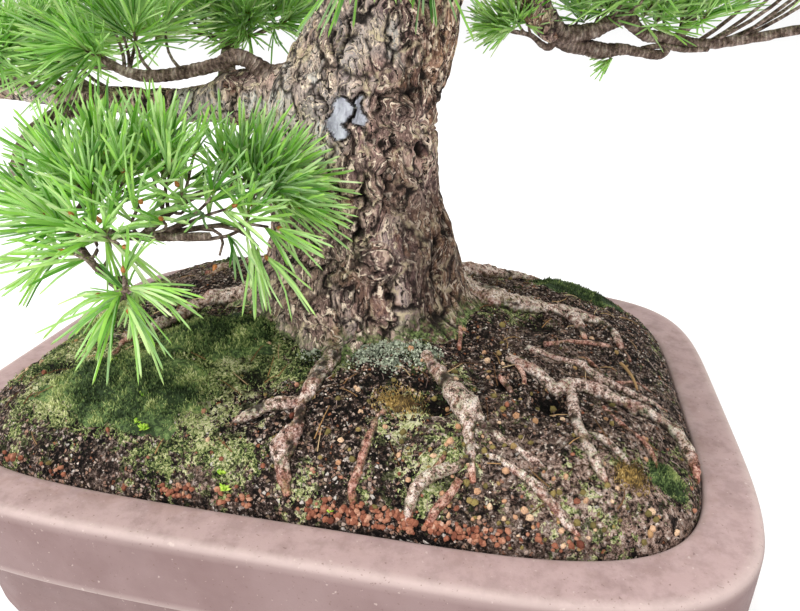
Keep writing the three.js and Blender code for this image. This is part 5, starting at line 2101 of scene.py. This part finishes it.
@dataclass
class Roots:
    """The surface roots, half sunk in the soil, with knots, a crusty skin and a tip that goes under."""

    ground: Ground
    lift: float = 0.35
    tip_lift: float = -0.9
    ring_spacing: float = 1.25
    sides_per_mm: float = 4.1

    def relief_for(self, route: np.ndarray, red: float) -> Relief:
        """Gives the relief of one root.

        Args:
            route: The root's rows of x, y, height, radius.
            red: How red its skin is all along; every tip is red.

        Returns:
            The relief: lumps as wide as the root, knots every 13 mm or so, and a rough skin.
        """
        length = lengths_along(route)

        def relief(plain: np.ndarray, along: np.ndarray) -> tuple[np.ndarray, dict[str, np.ndarray]]:
            """A root's relief, and where it is new, on top, mossy, cracked or painted with shade low down.
            """
            radius = np.interp(along, length, route[:, 3])
            lumps = bumps(plain, 8.0, 3, 121)
            knots = ease(0.3, 0.8, bumps(plain, 13.0, 1, 123))
            skin = bumps(plain, 2.2, 2, 125)
            rings = np.sin(1.7 * along + 4.0 * lumps) * np.minimum(radius, 4.0)
            push = (
                radius * (0.24 * lumps + 0.28 * knots) + 0.05 * rings
                + np.minimum(0.14 * radius, 0.6) * skin
            )
            ground = plain[:, 2] - RIM_Z - ground_height(plain[:, 0], plain[:, 1])
            above = ease(0.0, 0.9, ground / np.maximum(radius, 1.5))
            near_trunk = ease(88, 60, from_trunk(plain[:, 0], plain[:, 1]))
            shade = np.maximum(0.9 * self.ground.green(plain[:, 0], plain[:, 1]), near_trunk)
            low_moss = ease(0.8, 0.1, above) * (0.35 + 0.6 * shade)
            paint = {
                "fresh": np.clip(ease(0.86, 1.0, along / length[-1]) * 0.8 + red, 0, 1),
                "top": above,
                "mossy": np.clip(low_moss + 0.3 * ease(0.1, 0.5, -lumps) + 0.35 * shade, 0, 1),
                # Also darkens the sides low by the soil: soil stain and painted shade.
                "crack": np.clip(
                    0.9 * ease(-0.35, -0.8, lumps + 0.4 * skin) + 0.75 * ease(0.45, 0.05, above), 0, 1
                ),
            }
            return push, paint

        return relief

    def root(self, points: list[list[float]], red: float) -> Surface:
        """One root along the soil."""
        flat = np.array(points, float)
        lift = np.full(len(flat), self.lift)
        lift[-1] = self.tip_lift
        humps = total_weight(KNOLLS, flat[:, 0], flat[:, 1])
        height = soil_height(flat[:, 0], flat[:, 1]) + np.maximum(humps, -0.5) + lift * flat[:, 2] + RIM_Z
        route = np.stack([flat[:, 0], flat[:, 1], height, flat[:, 2]], axis=1)
        rows = max(10, int(lengths_along(route)[-1] / self.ring_spacing))
        sides = int(np.clip(flat[:, 2].max() * self.sides_per_mm, 8, 40))
        return tube(route, rows, sides, self.relief_for(route, red))

    def build(self) -> None:
        """Adds the thick roots, and the fine ones that show between them."""
        bark = RootBark().make()
        thick = joined([self.root(points, 0.0) for points in SURFACE_ROOTS])
        add_piece("surface_roots", thick, bark, ("trunk",))
        fine = joined([self.root(points, 0.55) for points in FINE_ROOTS])
        add_piece("fine_roots", fine, bark)


# Foliage


@dataclass(frozen=True)
class Growth:
    """How a pad's shoots carry their needles."""

    fascicles: int
    length: float
    width: float
    bends: int
    spacing: float
    tone: float = 0.58
    stretch: float = 18.0
    widest: float = 68.0


class Detail(Enum):
    """How finely needles are made: near ones are seen a hand away, and far ones only in whole views."""

    FRONT = Growth(fascicles=14, length=30.0, width=1.5, bends=3, spacing=22.0)
    NEAR = Growth(fascicles=16, length=33.0, width=1.25, bends=2, spacing=22.0)
    FAR = Growth(fascicles=10, length=36.0, width=1.42, bends=1, spacing=17.5, tone=0.3)


@dataclass
class Shoots:
    """Many shoots at once: where their needles begin, which way they point, and how their needles grow.

    droop is how much the needles hang, vigour a factor on their length, and full the share of bundles that
    is there.
    """

    base: np.ndarray
    direction: np.ndarray
    droop: np.ndarray
    vigour: np.ndarray
    full: np.ndarray

    @classmethod
    def from_rows(cls, rows: ShootRows) -> Shoots:
        """Reads rows of x, y, height, three parts of a direction, droop, vigour and fullness."""
        table = np.array(rows, float).reshape(-1, 9)
        base = table[:, :3] + RIM_LIFT
        return cls(base, unit(table[:, 3:6]), table[:, 6], table[:, 7], table[:, 8])

    def plus(self, other: Shoots) -> Shoots:
        """These shoots and some others."""
        names = [part.name for part in fields(self)]
        return Shoots(*[np.concatenate([getattr(self, name), getattr(other, name)]) for name in names])


def needles(shoots: Shoots, growth: Growth, rng: np.random.Generator) -> Surface:
    """All needles of many shoots: bundles of five, set spirally on the last stretch of each shoot.

    A bundle leans out from the shoot by an angle that falls towards the tip. Its five needles part by a few
    degrees, and each follows start + length (t direction + t^2 bend), where the bend is outwards and down.
    A needle's section is a triangle whose one edge faces the bundle's axis, so its two inner faces show the
    pale bands.

    Args:
        shoots: The shoots that carry the needles.
        growth: How many, how long and how wide the needles are.
        rng: The random source.

    Returns:
        All needles as one surface of closed prisms, with corner maps.
    """
    count, bundles, five = len(shoots.base), growth.fascicles, 5
    owner = np.repeat(np.arange(count), bundles)
    share = np.tile((np.arange(bundles) + 0.5) / bundles, count)
    turn = np.tile(np.arange(bundles), count) * GOLDEN_ANGLE + np.repeat(
        rng.uniform(0, 2 * np.pi, count), bundles
    )
    there = rng.random(len(owner)) < shoots.full[owner]
    owner, share, turn = owner[there], share[there], turn[there]
    shoot_way, vigour = shoots.direction[owner], shoots.vigour[owner]
    lean = np.radians(growth.widest - (growth.widest - 10) * share) + rng.normal(0, 0.15, len(owner))
    side, other = across(shoot_way)
    ring = np.cos(turn)[:, None] * side + np.sin(turn)[:, None] * other
    bundle = unit(np.cos(lean)[:, None] * shoot_way + np.sin(lean)[:, None] * ring)
    foot = shoots.base[owner] + shoot_way * (growth.stretch * vigour * share)[:, None]
    spin = np.arange(five)[None] * 2 * np.pi / five + rng.uniform(0, 2 * np.pi, (len(owner), 1))
    part = np.radians(rng.uniform(3, 12, (len(owner), five)))
    bundle_side, bundle_other = across(bundle)
    fan = np.cos(spin)[..., None] * bundle_side[:, None] + np.sin(spin)[..., None] * bundle_other[:, None]
    way = unit(np.cos(part)[..., None] * bundle[:, None] + np.sin(part)[..., None] * fan)
    outward = unit(fan - np.einsum("...i,...i->...", fan, way)[..., None] * way)
    flank = np.cross(way, outward)
    size = growth.length * vigour[:, None] * rng.normal(1, 0.12, (len(owner), five))
    bend = 0.08 * outward + rng.normal(0, 0.07, way.shape) + 0.12 * (shoot_way - bundle)[:, None]
    bend[..., 2] -= shoots.droop[owner][:, None] * rng.uniform(0.6, 1.3, (len(owner), five))
    rows = growth.bends + 1
    t = np.linspace(0, 0.94, rows)
    wide = growth.width * np.interp(t, [0, 0.1, 0.6, 0.94], [0.6, 1.0, 1.0, 0.72])
    girth = rng.normal(1, 0.13, (len(owner), five, 1, 1, 1))
    spine = foot[:, None, None] + size[..., None, None] * (
        t[:, None] * way[..., None, :] + (t**2)[:, None] * bend[..., None, :]
    )
    tip = foot[:, None] + size[..., None] * (way + bend)
    corners = np.stack(
        [0.28 * outward + 0.5 * flank, -0.36 * outward, 0.28 * outward - 0.5 * flank], axis=-2
    )
    prism = spine[..., None, :] + girth * wide[:, None, None] * corners[..., None, :, :]
    total = len(owner) * five
    points = np.concatenate([prism.reshape(total, rows * 3, 3), tip.reshape(total, 1, 3)], axis=1)
    each = rows * 3 + 1
    start = (np.arange(total) * each)[:, None, None]
    quad = lattice_quads(rows, 3, True)
    last = (rows - 1) * 3
    ends = np.array([
        [last, last + 1, last + 3], [last + 1, last + 2, last + 3], [last + 2, last, last + 3], [0, 2, 1],
    ])
    row, column = np.divmod(np.arange(len(quad)), 3)
    third = 1 / 3
    quad_uv = np.stack([
        np.stack([column * third, t[row]], axis=1), np.stack([(column + 1) * third, t[row]], axis=1),
        np.stack([(column + 1) * third, t[row + 1]], axis=1),
        np.stack([column * third, t[row + 1]], axis=1),
    ], axis=1)
    end_uv = np.array([
        [[k * third, t[-1]], [(k + 1) * third, t[-1]], [(k + 0.5) * third, 1]] for k in range(3)
    ] + [[[0.7, 0], [0.8, 0], [0.9, 0]]])
    tone = rng.normal(growth.tone, 0.1, count)[owner, None] + rng.normal(0, 0.12, (len(owner), 1))
    tone = np.clip(tone + rng.normal(0, 0.17, (len(owner), five)), 0, 1).ravel()
    return Surface(
        points.reshape(-1, 3),
        (quad[None] + start).reshape(-1, 4),
        (ends[None] + start).reshape(-1, 3),
        {"tone": np.repeat(tone, each)},
        np.broadcast_to(quad_uv, (total,) + quad_uv.shape).reshape(-1, 4, 2),
        np.broadcast_to(end_uv, (total,) + end_uv.shape).reshape(-1, 3, 2),
    )


def buds(base: np.ndarray, direction: np.ndarray, size: np.ndarray) -> Surface:
    """The brown bud at each shoot's tip: a spindle of four rings, almost three times as long as thick."""
    length = 2.6 * np.array([0.0, 0.25, 0.6, 0.95])
    girth = np.array([0.5, 1.0, 0.75, 0.25])
    sharp_end = 2.9
    side, other = across(direction)
    angle = once_round(6)
    ring = np.cos(angle)[None, :, None] * side[:, None] + np.sin(angle)[None, :, None] * other[:, None]
    points = base[:, None, None] + size[:, None, None, None] * (
        length[None, :, None, None] * direction[:, None, None]
        + girth[None, :, None, None] * ring[:, None]
    )
    return Surface(*closed_tubes(points, base, base + sharp_end * size[:, None] * direction))


@dataclass
class Pad:
    """One pad of foliage: twigs from its branch, with a brush of needles at the end of each."""

    node: str
    seed: int
    detail: Detail = Detail.FAR
    placed: ShootRows = ()
    filled: bool = True
    raised: float = 0.0
    steps_back: int = 5
    twig_reach: float = 13.0
    twig_bow: float = 0.22

    def spread(self, rng: np.random.Generator) -> Shoots:
        """Where the shoots end and which way they point: an even spread that fans out to the pad's edge."""
        centre, half, _ = PADS[self.node]
        growth = self.detail.value
        step = growth.spacing
        reach = np.maximum(np.array(half[:2], float) - (growth.length + growth.stretch) * 0.52, 6.0)
        nx, ny = int(reach[0] * 2 / step) + 3, int(reach[1] * 2 / step) + 3
        gx, gy = np.meshgrid(np.arange(nx) - (nx - 1) / 2, np.arange(ny) - (ny - 1) / 2)
        x = ((gx + 0.5 * (np.arange(ny)[:, None] % 2)) * step).ravel() + rng.normal(0, step * 0.2, nx * ny)
        y = (gy * step * 0.9).ravel() + rng.normal(0, step * 0.2, nx * ny)
        away = np.hypot(x / reach[0], y / reach[1])
        x, y, away = x[away < 1.08], y[away < 1.08], away[away < 1.08]
        rise = np.sqrt(np.clip(1 - (0.8 * away) ** 2, 0, 1))
        z = self.raised + half[2] * (0.75 * rise - 0.65) + rng.normal(0, 2.5, len(x))
        base = np.stack([x, y, z], axis=1) + np.array(centre) + RIM_LIFT
        out = np.stack([x / reach[0], y / reach[1], np.zeros(len(x))], axis=1)
        direction = unit(out * 0.95 + np.array([0, 0, 0.75]) + rng.normal(0, 0.16, (len(x), 3)))
        ends = base + (growth.length + growth.stretch) * direction
        inside = np.all(np.abs(ends)[:, :2] < NEEDLE_REACH, axis=1)
        base, direction = base[inside], direction[inside]
        ones = np.ones(len(base))
        return Shoots(base, direction, 0.1 * ones, rng.uniform(0.86, 1.1, len(base)), ones)

    def build(self, skin: bpy.types.Material, wood: bpy.types.Material, bud: bpy.types.Material) -> None:
        """Adds the pad's needles, and its twigs with their buds."""
        rng = np.random.default_rng(self.seed)
        shoots = Shoots.from_rows(self.placed)
        if self.filled:
            shoots = self.spread(rng).plus(shoots)
        add_piece(
            f"{self.node}_needles", needles(shoots, self.detail.value, rng), skin, (self.node,),
            False,
        )
        add_piece(f"{self.node}_twigs", self.twigs(shoots.base, shoots.direction, rng), wood)
        tips = shoots.base + shoots.direction * (self.detail.value.stretch * shoots.vigour)[:, None]
        if self.detail is not Detail.FAR:
            add_piece(
                f"{self.node}_buds", buds(tips, shoots.direction, np.full(len(tips), 1.3)), bud
            )

    def twigs(self, base: np.ndarray, direction: np.ndarray, rng: np.random.Generator) -> Surface:
        """A twig from the branch to each shoot: it leaves the branch a little before its nearest point."""
        branch = PADS[self.node][2]
        routes = [TRUNK_ROUTE[-4:]] if branch == "trunk" else BRANCH_ROUTES[branch]
        runs = [spline(np.array(route, float), RUN_STEPS)[0] for route in routes]
        run = np.concatenate(runs)[:, :3] + RIM_LIFT
        nearest = np.linalg.norm(base[:, None] - run[None], axis=2).argmin(axis=1)
        first = np.repeat(np.arange(len(runs)) * RUN_STEPS, RUN_STEPS)
        start = run[np.maximum(nearest - self.steps_back, first[nearest])]
        tip = base + direction * self.twig_reach
        span = np.linalg.norm(tip - start, axis=1, keepdims=True)
        bend = base - direction * span * self.twig_bow + rng.normal(0, 2.0, base.shape)
        thick = np.clip(0.8 + span[:, 0] * 0.009, 0.8, 1.6)
        rows, sides = (4, 4) if self.detail is Detail.FAR else (7, 6)
        made = threads(start, bend, tip, thick, np.full(len(tip), 0.7), sides, rows)
        made.paint["along"] = np.linalg.norm(made.points, axis=1)
        made.paint["crack"] = np.zeros(len(made.points))
        return made


FOREGROUND_SHOOTS = (
    (-66, -114, 100, -0.85, -0.3, -0.2, 0.35, 1.0, 0.2),
    (-70, -112, 103, -0.25, -0.45, -0.6, 0.25, 1.0, 0.2), (-77, -112, 103, 0.4, -0.45, -0.5, 0.3, 1.0, 0.2),
    (-80, -115, 98, 0.9, -0.1, 0.05, 0.35, 1.0, 0.22), (-73, -116, 92, 0.1, 0.0, 0.9, 0.2, 0.8, 0.12),
    (-83, -104, 112, 0.0, -0.3, 0.8, 0.2, 0.9, 0.25), (-79, -104, 117, -0.6, -0.3, 0.1, 0.25, 0.9, 0.2),
    (-88, -104, 119, 0.7, -0.3, -0.1, 0.3, 0.9, 0.2), (-34, -69, 116, 0.5, -0.2, -0.5, 0.25, 1.05, 0.16),
    (-34, -68, 113, 0.3, -0.2, 0.7, 0.12, 0.9, 0.25), (-38, -76, 115, -0.1, -0.5, -0.5, 0.25, 1.0, 0.12),
    (-34, -66, 116, 0.85, -0.1, 0.0, 0.2, 1.0, 0.2), (-34, -42, 127, 0.9, -0.1, 0.25, 0.1, 1.1, 0.9),
    (-38, -44, 128, 0.75, -0.1, 0.5, 0.08, 1.15, 0.9), (-42, -46, 128, 0.5, -0.1, 0.75, 0.08, 1.1, 0.9),
    (-37, -52, 125, 0.8, -0.3, 0.35, 0.1, 1.1, 0.8), (-48, -44, 129, 0.3, 0.0, 0.9, 0.08, 0.95, 0.8),
    (-31, -48, 122, 0.95, -0.1, 0.0, 0.12, 1.1, 0.4), (-54, -49, 132, 0.2, 0.0, 0.95, 0.08, 0.95, 0.5),
    (-52, -75, 122, 0.5, -0.2, 0.7, 0.1, 1.0, 0.5), (-50, -73, 121, 0.75, -0.2, 0.35, 0.12, 1.0, 0.25),
    (-56, -76, 122, -0.2, -0.2, 0.8, 0.1, 0.9, 0.35), (-66, -62, 132, 0.3, 0.1, 0.95, 0.08, 0.95, 0.45),
    (-70, -76, 130, 0.35, -0.1, 0.9, 0.08, 1.0, 0.5), (-76, -68, 136, 0.25, 0.0, 0.95, 0.08, 0.95, 0.8),
    (-84, -64, 138, 0.25, 0.0, 0.95, 0.08, 1.0, 0.9), (-90, -74, 134, 0.2, 0.0, 0.95, 0.08, 1.0, 0.9),
    (-98, -80, 133, 0.2, -0.1, 0.95, 0.08, 1.0, 0.9), (-106, -74, 137, 0.1, 0.0, 0.95, 0.08, 1.0, 1),
    (-86, -88, 128, 0.25, -0.1, 0.9, 0.08, 1.0, 0.55), (-96, -94, 125, 0.1, -0.2, 0.9, 0.1, 1.0, 0.9),
    (-106, -88, 128, -0.1, -0.1, 0.9, 0.08, 1.0, 1), (-78, -94, 122, 0.5, -0.3, 0.6, 0.1, 0.95, 0.3),
    (-90, -104, 115, -0.2, -0.3, 0.6, 0.14, 0.95, 0.3), (-100, -102, 117, -0.4, -0.4, 0.5, 0.12, 1.0, 0.7),
    (-114, -96, 120, -0.6, -0.2, 0.6, 0.1, 1.0, 1), (-120, -80, 130, -0.4, 0.1, 0.85, 0.08, 1.0, 1),
    (-112, -104, 106, -0.5, -0.5, 0.1, 0.16, 0.95, 0.35),
    (-86, -110, 108, -0.3, -0.4, 0.3, 0.16, 0.9, 0.25), (-62, -86, 117, 0.1, -0.5, 0.4, 0.14, 0.85, 0.25),
)
LEFT_INNER_SHOOTS = (
    (-128, 2, 197, -0.2, -0.3, 0.85, 0.08, 1.05, 1), (-140, -6, 192, -0.6, -0.45, 0.5, 0.1, 1.1, 1),
    (-118, -8, 196, 0.4, -0.4, 0.75, 0.08, 1.0, 1), (-132, -16, 190, -0.2, -0.8, 0.3, 0.12, 1.05, 1),
    (-138, 8, 200, -0.5, 0.1, 0.85, 0.08, 1.05, 1), (-112, 4, 198, 0.6, 0.1, 0.75, 0.08, 0.95, 1),
    (-146, -14, 184, -0.8, -0.4, 0.1, 0.14, 1.0, 1), (-126, 14, 202, 0.0, 0.3, 0.9, 0.08, 1.0, 1),
)
LEFT_BACK_SHOOTS = (
    (-121, 64, 206, -0.2, -0.3, 0.8, 0.08, 1.05, 1), (-112, 58, 204, 0.45, -0.35, 0.7, 0.08, 1.0, 1),
    (-81, 83, 204, 0.3, -0.35, 0.8, 0.08, 1.05, 1), (-90, 76, 202, -0.3, -0.4, 0.75, 0.08, 1.0, 1),
    (-70, 78, 202, 0.8, -0.3, 0.4, 0.1, 1.0, 1), (-98, 70, 202, 0.1, -0.6, 0.6, 0.1, 1.0, 1),
    (-130, 60, 200, -0.7, -0.4, 0.4, 0.1, 1.0, 1), (-84, 72, 198, 0.1, -0.8, 0.25, 0.12, 0.95, 1),
    (-74, 88, 208, 0.4, 0.1, 0.85, 0.08, 1.05, 1), (-106, 74, 206, 0.0, 0.0, 0.95, 0.08, 1.05, 1),
)
RIGHT_INNER_SHOOTS = (
    (84, 88, 202, -0.75, -0.35, 0.2, 0.1, 0.62, 1), (88, 88, 204, -0.3, -0.5, 0.65, 0.08, 0.6, 1),
    (92, 90, 205, 0.2, -0.3, 0.8, 0.08, 0.55, 1), (82, 92, 203, -0.8, 0.2, 0.4, 0.1, 0.6, 1),
)
RIGHT_LOW_SHOOTS = (
    (128, 106, 206, -0.2, -0.4, 0.8, 0.08, 0.9, 1), (140, 108, 208, 0.1, -0.6, 0.7, 0.08, 0.9, 1),
    (150, 110, 208, 0.0, -0.2, 0.9, 0.08, 0.95, 1), (163, 114, 208, 0.3, -0.5, 0.6, 0.08, 0.95, 1),
    (172, 116, 204, 0.2, -0.5, 0.7, 0.08, 0.95, 1), (186, 114, 204, 0.1, -0.4, 0.85, 0.08, 1.0, 1),
    (197, 110, 206, 0.3, -0.5, 0.7, 0.08, 1.0, 1), (156, 118, 212, 0.0, 0.3, 0.9, 0.08, 1.0, 1),
    (178, 124, 208, 0.0, 0.3, 0.9, 0.08, 1.0, 1), (150, 106, 188, -0.6, -0.5, -0.5, 0.1, 0.4, 0.2),
)
FRONT_LOW_SHOOTS = (
    (34, -62, 246, -0.6, 0.1, -0.7, 0.2, 0.85, 0.6), (50, -66, 246, 0.6, 0.1, -0.7, 0.2, 0.8, 0.6),
)


@dataclass
class Tree:
    """The whole pine above its roots: trunk, branches and foliage."""

    ground: Ground
    near: dict[str, tuple[ShootRows, bool, Detail]] = field(default_factory=lambda: {
        "foliage_foreground": (FOREGROUND_SHOOTS, False, Detail.FRONT),
        "foliage_left_inner": (LEFT_INNER_SHOOTS, False, Detail.NEAR),
        "foliage_left_back": (LEFT_BACK_SHOOTS, True, Detail.NEAR),
        "foliage_right_inner": (RIGHT_INNER_SHOOTS, False, Detail.NEAR),
        "foliage_right_low": (RIGHT_LOW_SHOOTS, True, Detail.NEAR),
        "foliage_left_low": ((), True, Detail.NEAR),
        "foliage_front_low": (FRONT_LOW_SHOOTS, True, Detail.FAR),
    })
    raised: dict[str, float] = field(default_factory=lambda: {
        "foliage_front_low": 9.0, "foliage_right_low": 9.0,
    })
    old_wood: tuple[str, ...] = ("branch_left", "branch_right")
    seen_close: tuple[str, ...] = ("branch_left", "branch_right", "branch_foreground")
    close_rings: float = 1.2
    far_rings: float = 2.6
    first_seed: int = 200

    def build(self) -> None:
        """Adds the trunk, the roots, each branch and each pad."""
        trunk = Trunk()
        bark = OldBark().make()
        trunk.build(bark)
        Roots(self.ground).build()
        wood = TwigBark().make()
        for node in BRANCH_ROUTES:
            old = node in self.old_wood
            branch = Branch(node, self.close_rings if node in self.seen_close else self.far_rings)
            add_piece(f"{node}_wood", branch.surface(old), wood, (node,))
            if old:
                add_piece(f"{node}_old_wood", branch.old_wood(trunk), bark, (node,))
        skin = NeedleSkin().make()
        scales = PlainFinish("bud_scale_resinous", "#8A4F22", "#C07A3C", 0.8, 0.5).make()
        for seed, node in enumerate(PADS):
            placed, filled, detail = self.near.get(node, ((), True, Detail.FAR))
            raised = self.raised.get(node, 0.0)
            Pad(node, self.first_seed + seed, detail, placed, filled, raised).build(skin, wood, scales)


# The studio


@dataclass(frozen=True)
class Lamp:
    """A square soft light: where it stands and how wide it is, in metres, and its power in watts."""

    name: str
    place: tuple[float, float, float]
    width: float
    watts: float


@dataclass
class Studio:
    """A plain pale floor, four soft lights, and the camera where the photograph's was.

    The key comes from the upper left. Fills come from the right and from low in front, and one light from
    behind.
    """

    camera_place: tuple[float, float, float] = (0.10773, -0.35645, 0.34518)
    camera_pitch: float = 24.66
    camera_turn: float = 12.1
    lens: float = 29.25
    sky: str = "#FFFFFF"
    sky_strength: float = 0.95
    floor_glow: float = 0.08
    floor_reach: float = 60000.0
    aim: tuple[float, float, float] = (0.0, 0.0, 0.3)
    lamps: tuple[Lamp, ...] = (
        Lamp("key_left", (-1.4, -1.5, 4.0), 0.8, 106.0), Lamp("fill_right", (2.0, -1.0, 3.8), 1.2, 28.0),
        Lamp("fill_front", (-1.6, -2.4, 1.3), 1.6, 27.0), Lamp("top_back", (0.6, 2.4, 3.8), 2.4, 24.0),
    )

    def floor(self) -> None:
        """Adds the floor."""
        corners = [[-1, -1, 0], [1, -1, 0], [1, 1, 0], [-1, 1, 0]]
        points = np.array(corners) * self.floor_reach
        mesh = as_mesh("floor", Surface(points, quads=np.array([[0, 1, 2, 3]])), False)
        floor = bpy.data.objects.new("floor", mesh)
        box = Paintbox("floor_matte_white")
        box.set(Base_Color=linear("#F8F8F8"), Roughness=0.95, Specular_IOR_Level=0.1)
        box.set(Emission_Color=linear("#FFFFFF"), Emission_Strength=self.floor_glow)
        floor.data.materials.append(box.material)
        bpy.context.scene.collection.objects.link(floor)

    def light(self, lamp: Lamp) -> None:
        """Adds a light that faces the middle of the tree."""
        light = bpy.data.lights.new(lamp.name, "AREA")
        light.size = lamp.width
        light.energy = lamp.watts
        holder = bpy.data.objects.new(lamp.name, light)
        holder.location = lamp.place
        aim = np.array(self.aim) - np.array(lamp.place)
        yaw = math.atan2(aim[1], aim[0]) - math.pi / 2
        pitch = math.atan2(math.hypot(aim[0], aim[1]), -aim[2])
        holder.rotation_euler = (pitch, 0.0, yaw)
        bpy.context.scene.collection.objects.link(holder)

    def build(self) -> None:
        """Adds the floor, the lights and the camera."""
        self.floor()
        scene = bpy.context.scene
        world = bpy.data.worlds.new("soft_sky")
        world.use_nodes = True
        background = world.node_tree.nodes["Background"]
        background.inputs["Color"].default_value = linear(self.sky)
        background.inputs["Strength"].default_value = self.sky_strength
        scene.world = world
        for lamp in self.lamps:
            self.light(lamp)
        lens = bpy.data.cameras.new("camera")
        lens.sensor_width = 36.0
        lens.lens = self.lens
        lens.clip_start = 0.02
        camera = bpy.data.objects.new("camera", lens)
        camera.location = self.camera_place
        camera.rotation_euler = (math.radians(90 - self.camera_pitch), 0.0, math.radians(self.camera_turn))
        scene.collection.objects.link(camera)
        scene.camera = camera
        scene.view_settings.view_transform = "Standard"


def main(frame: dict[str, Any]) -> None:
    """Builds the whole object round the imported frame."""
    logging.basicConfig(level=logging.INFO, format="%(name)s %(message)s")
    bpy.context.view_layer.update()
    Studio().build()
    Pot().build()
    DrainParts().dress(frame["nodes"])
    ground = Ground()
    ground.build()
    GroundCover(ground).build()
    Tree(ground).build()


if __name__ == "__main__":
    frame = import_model()
    main(frame)
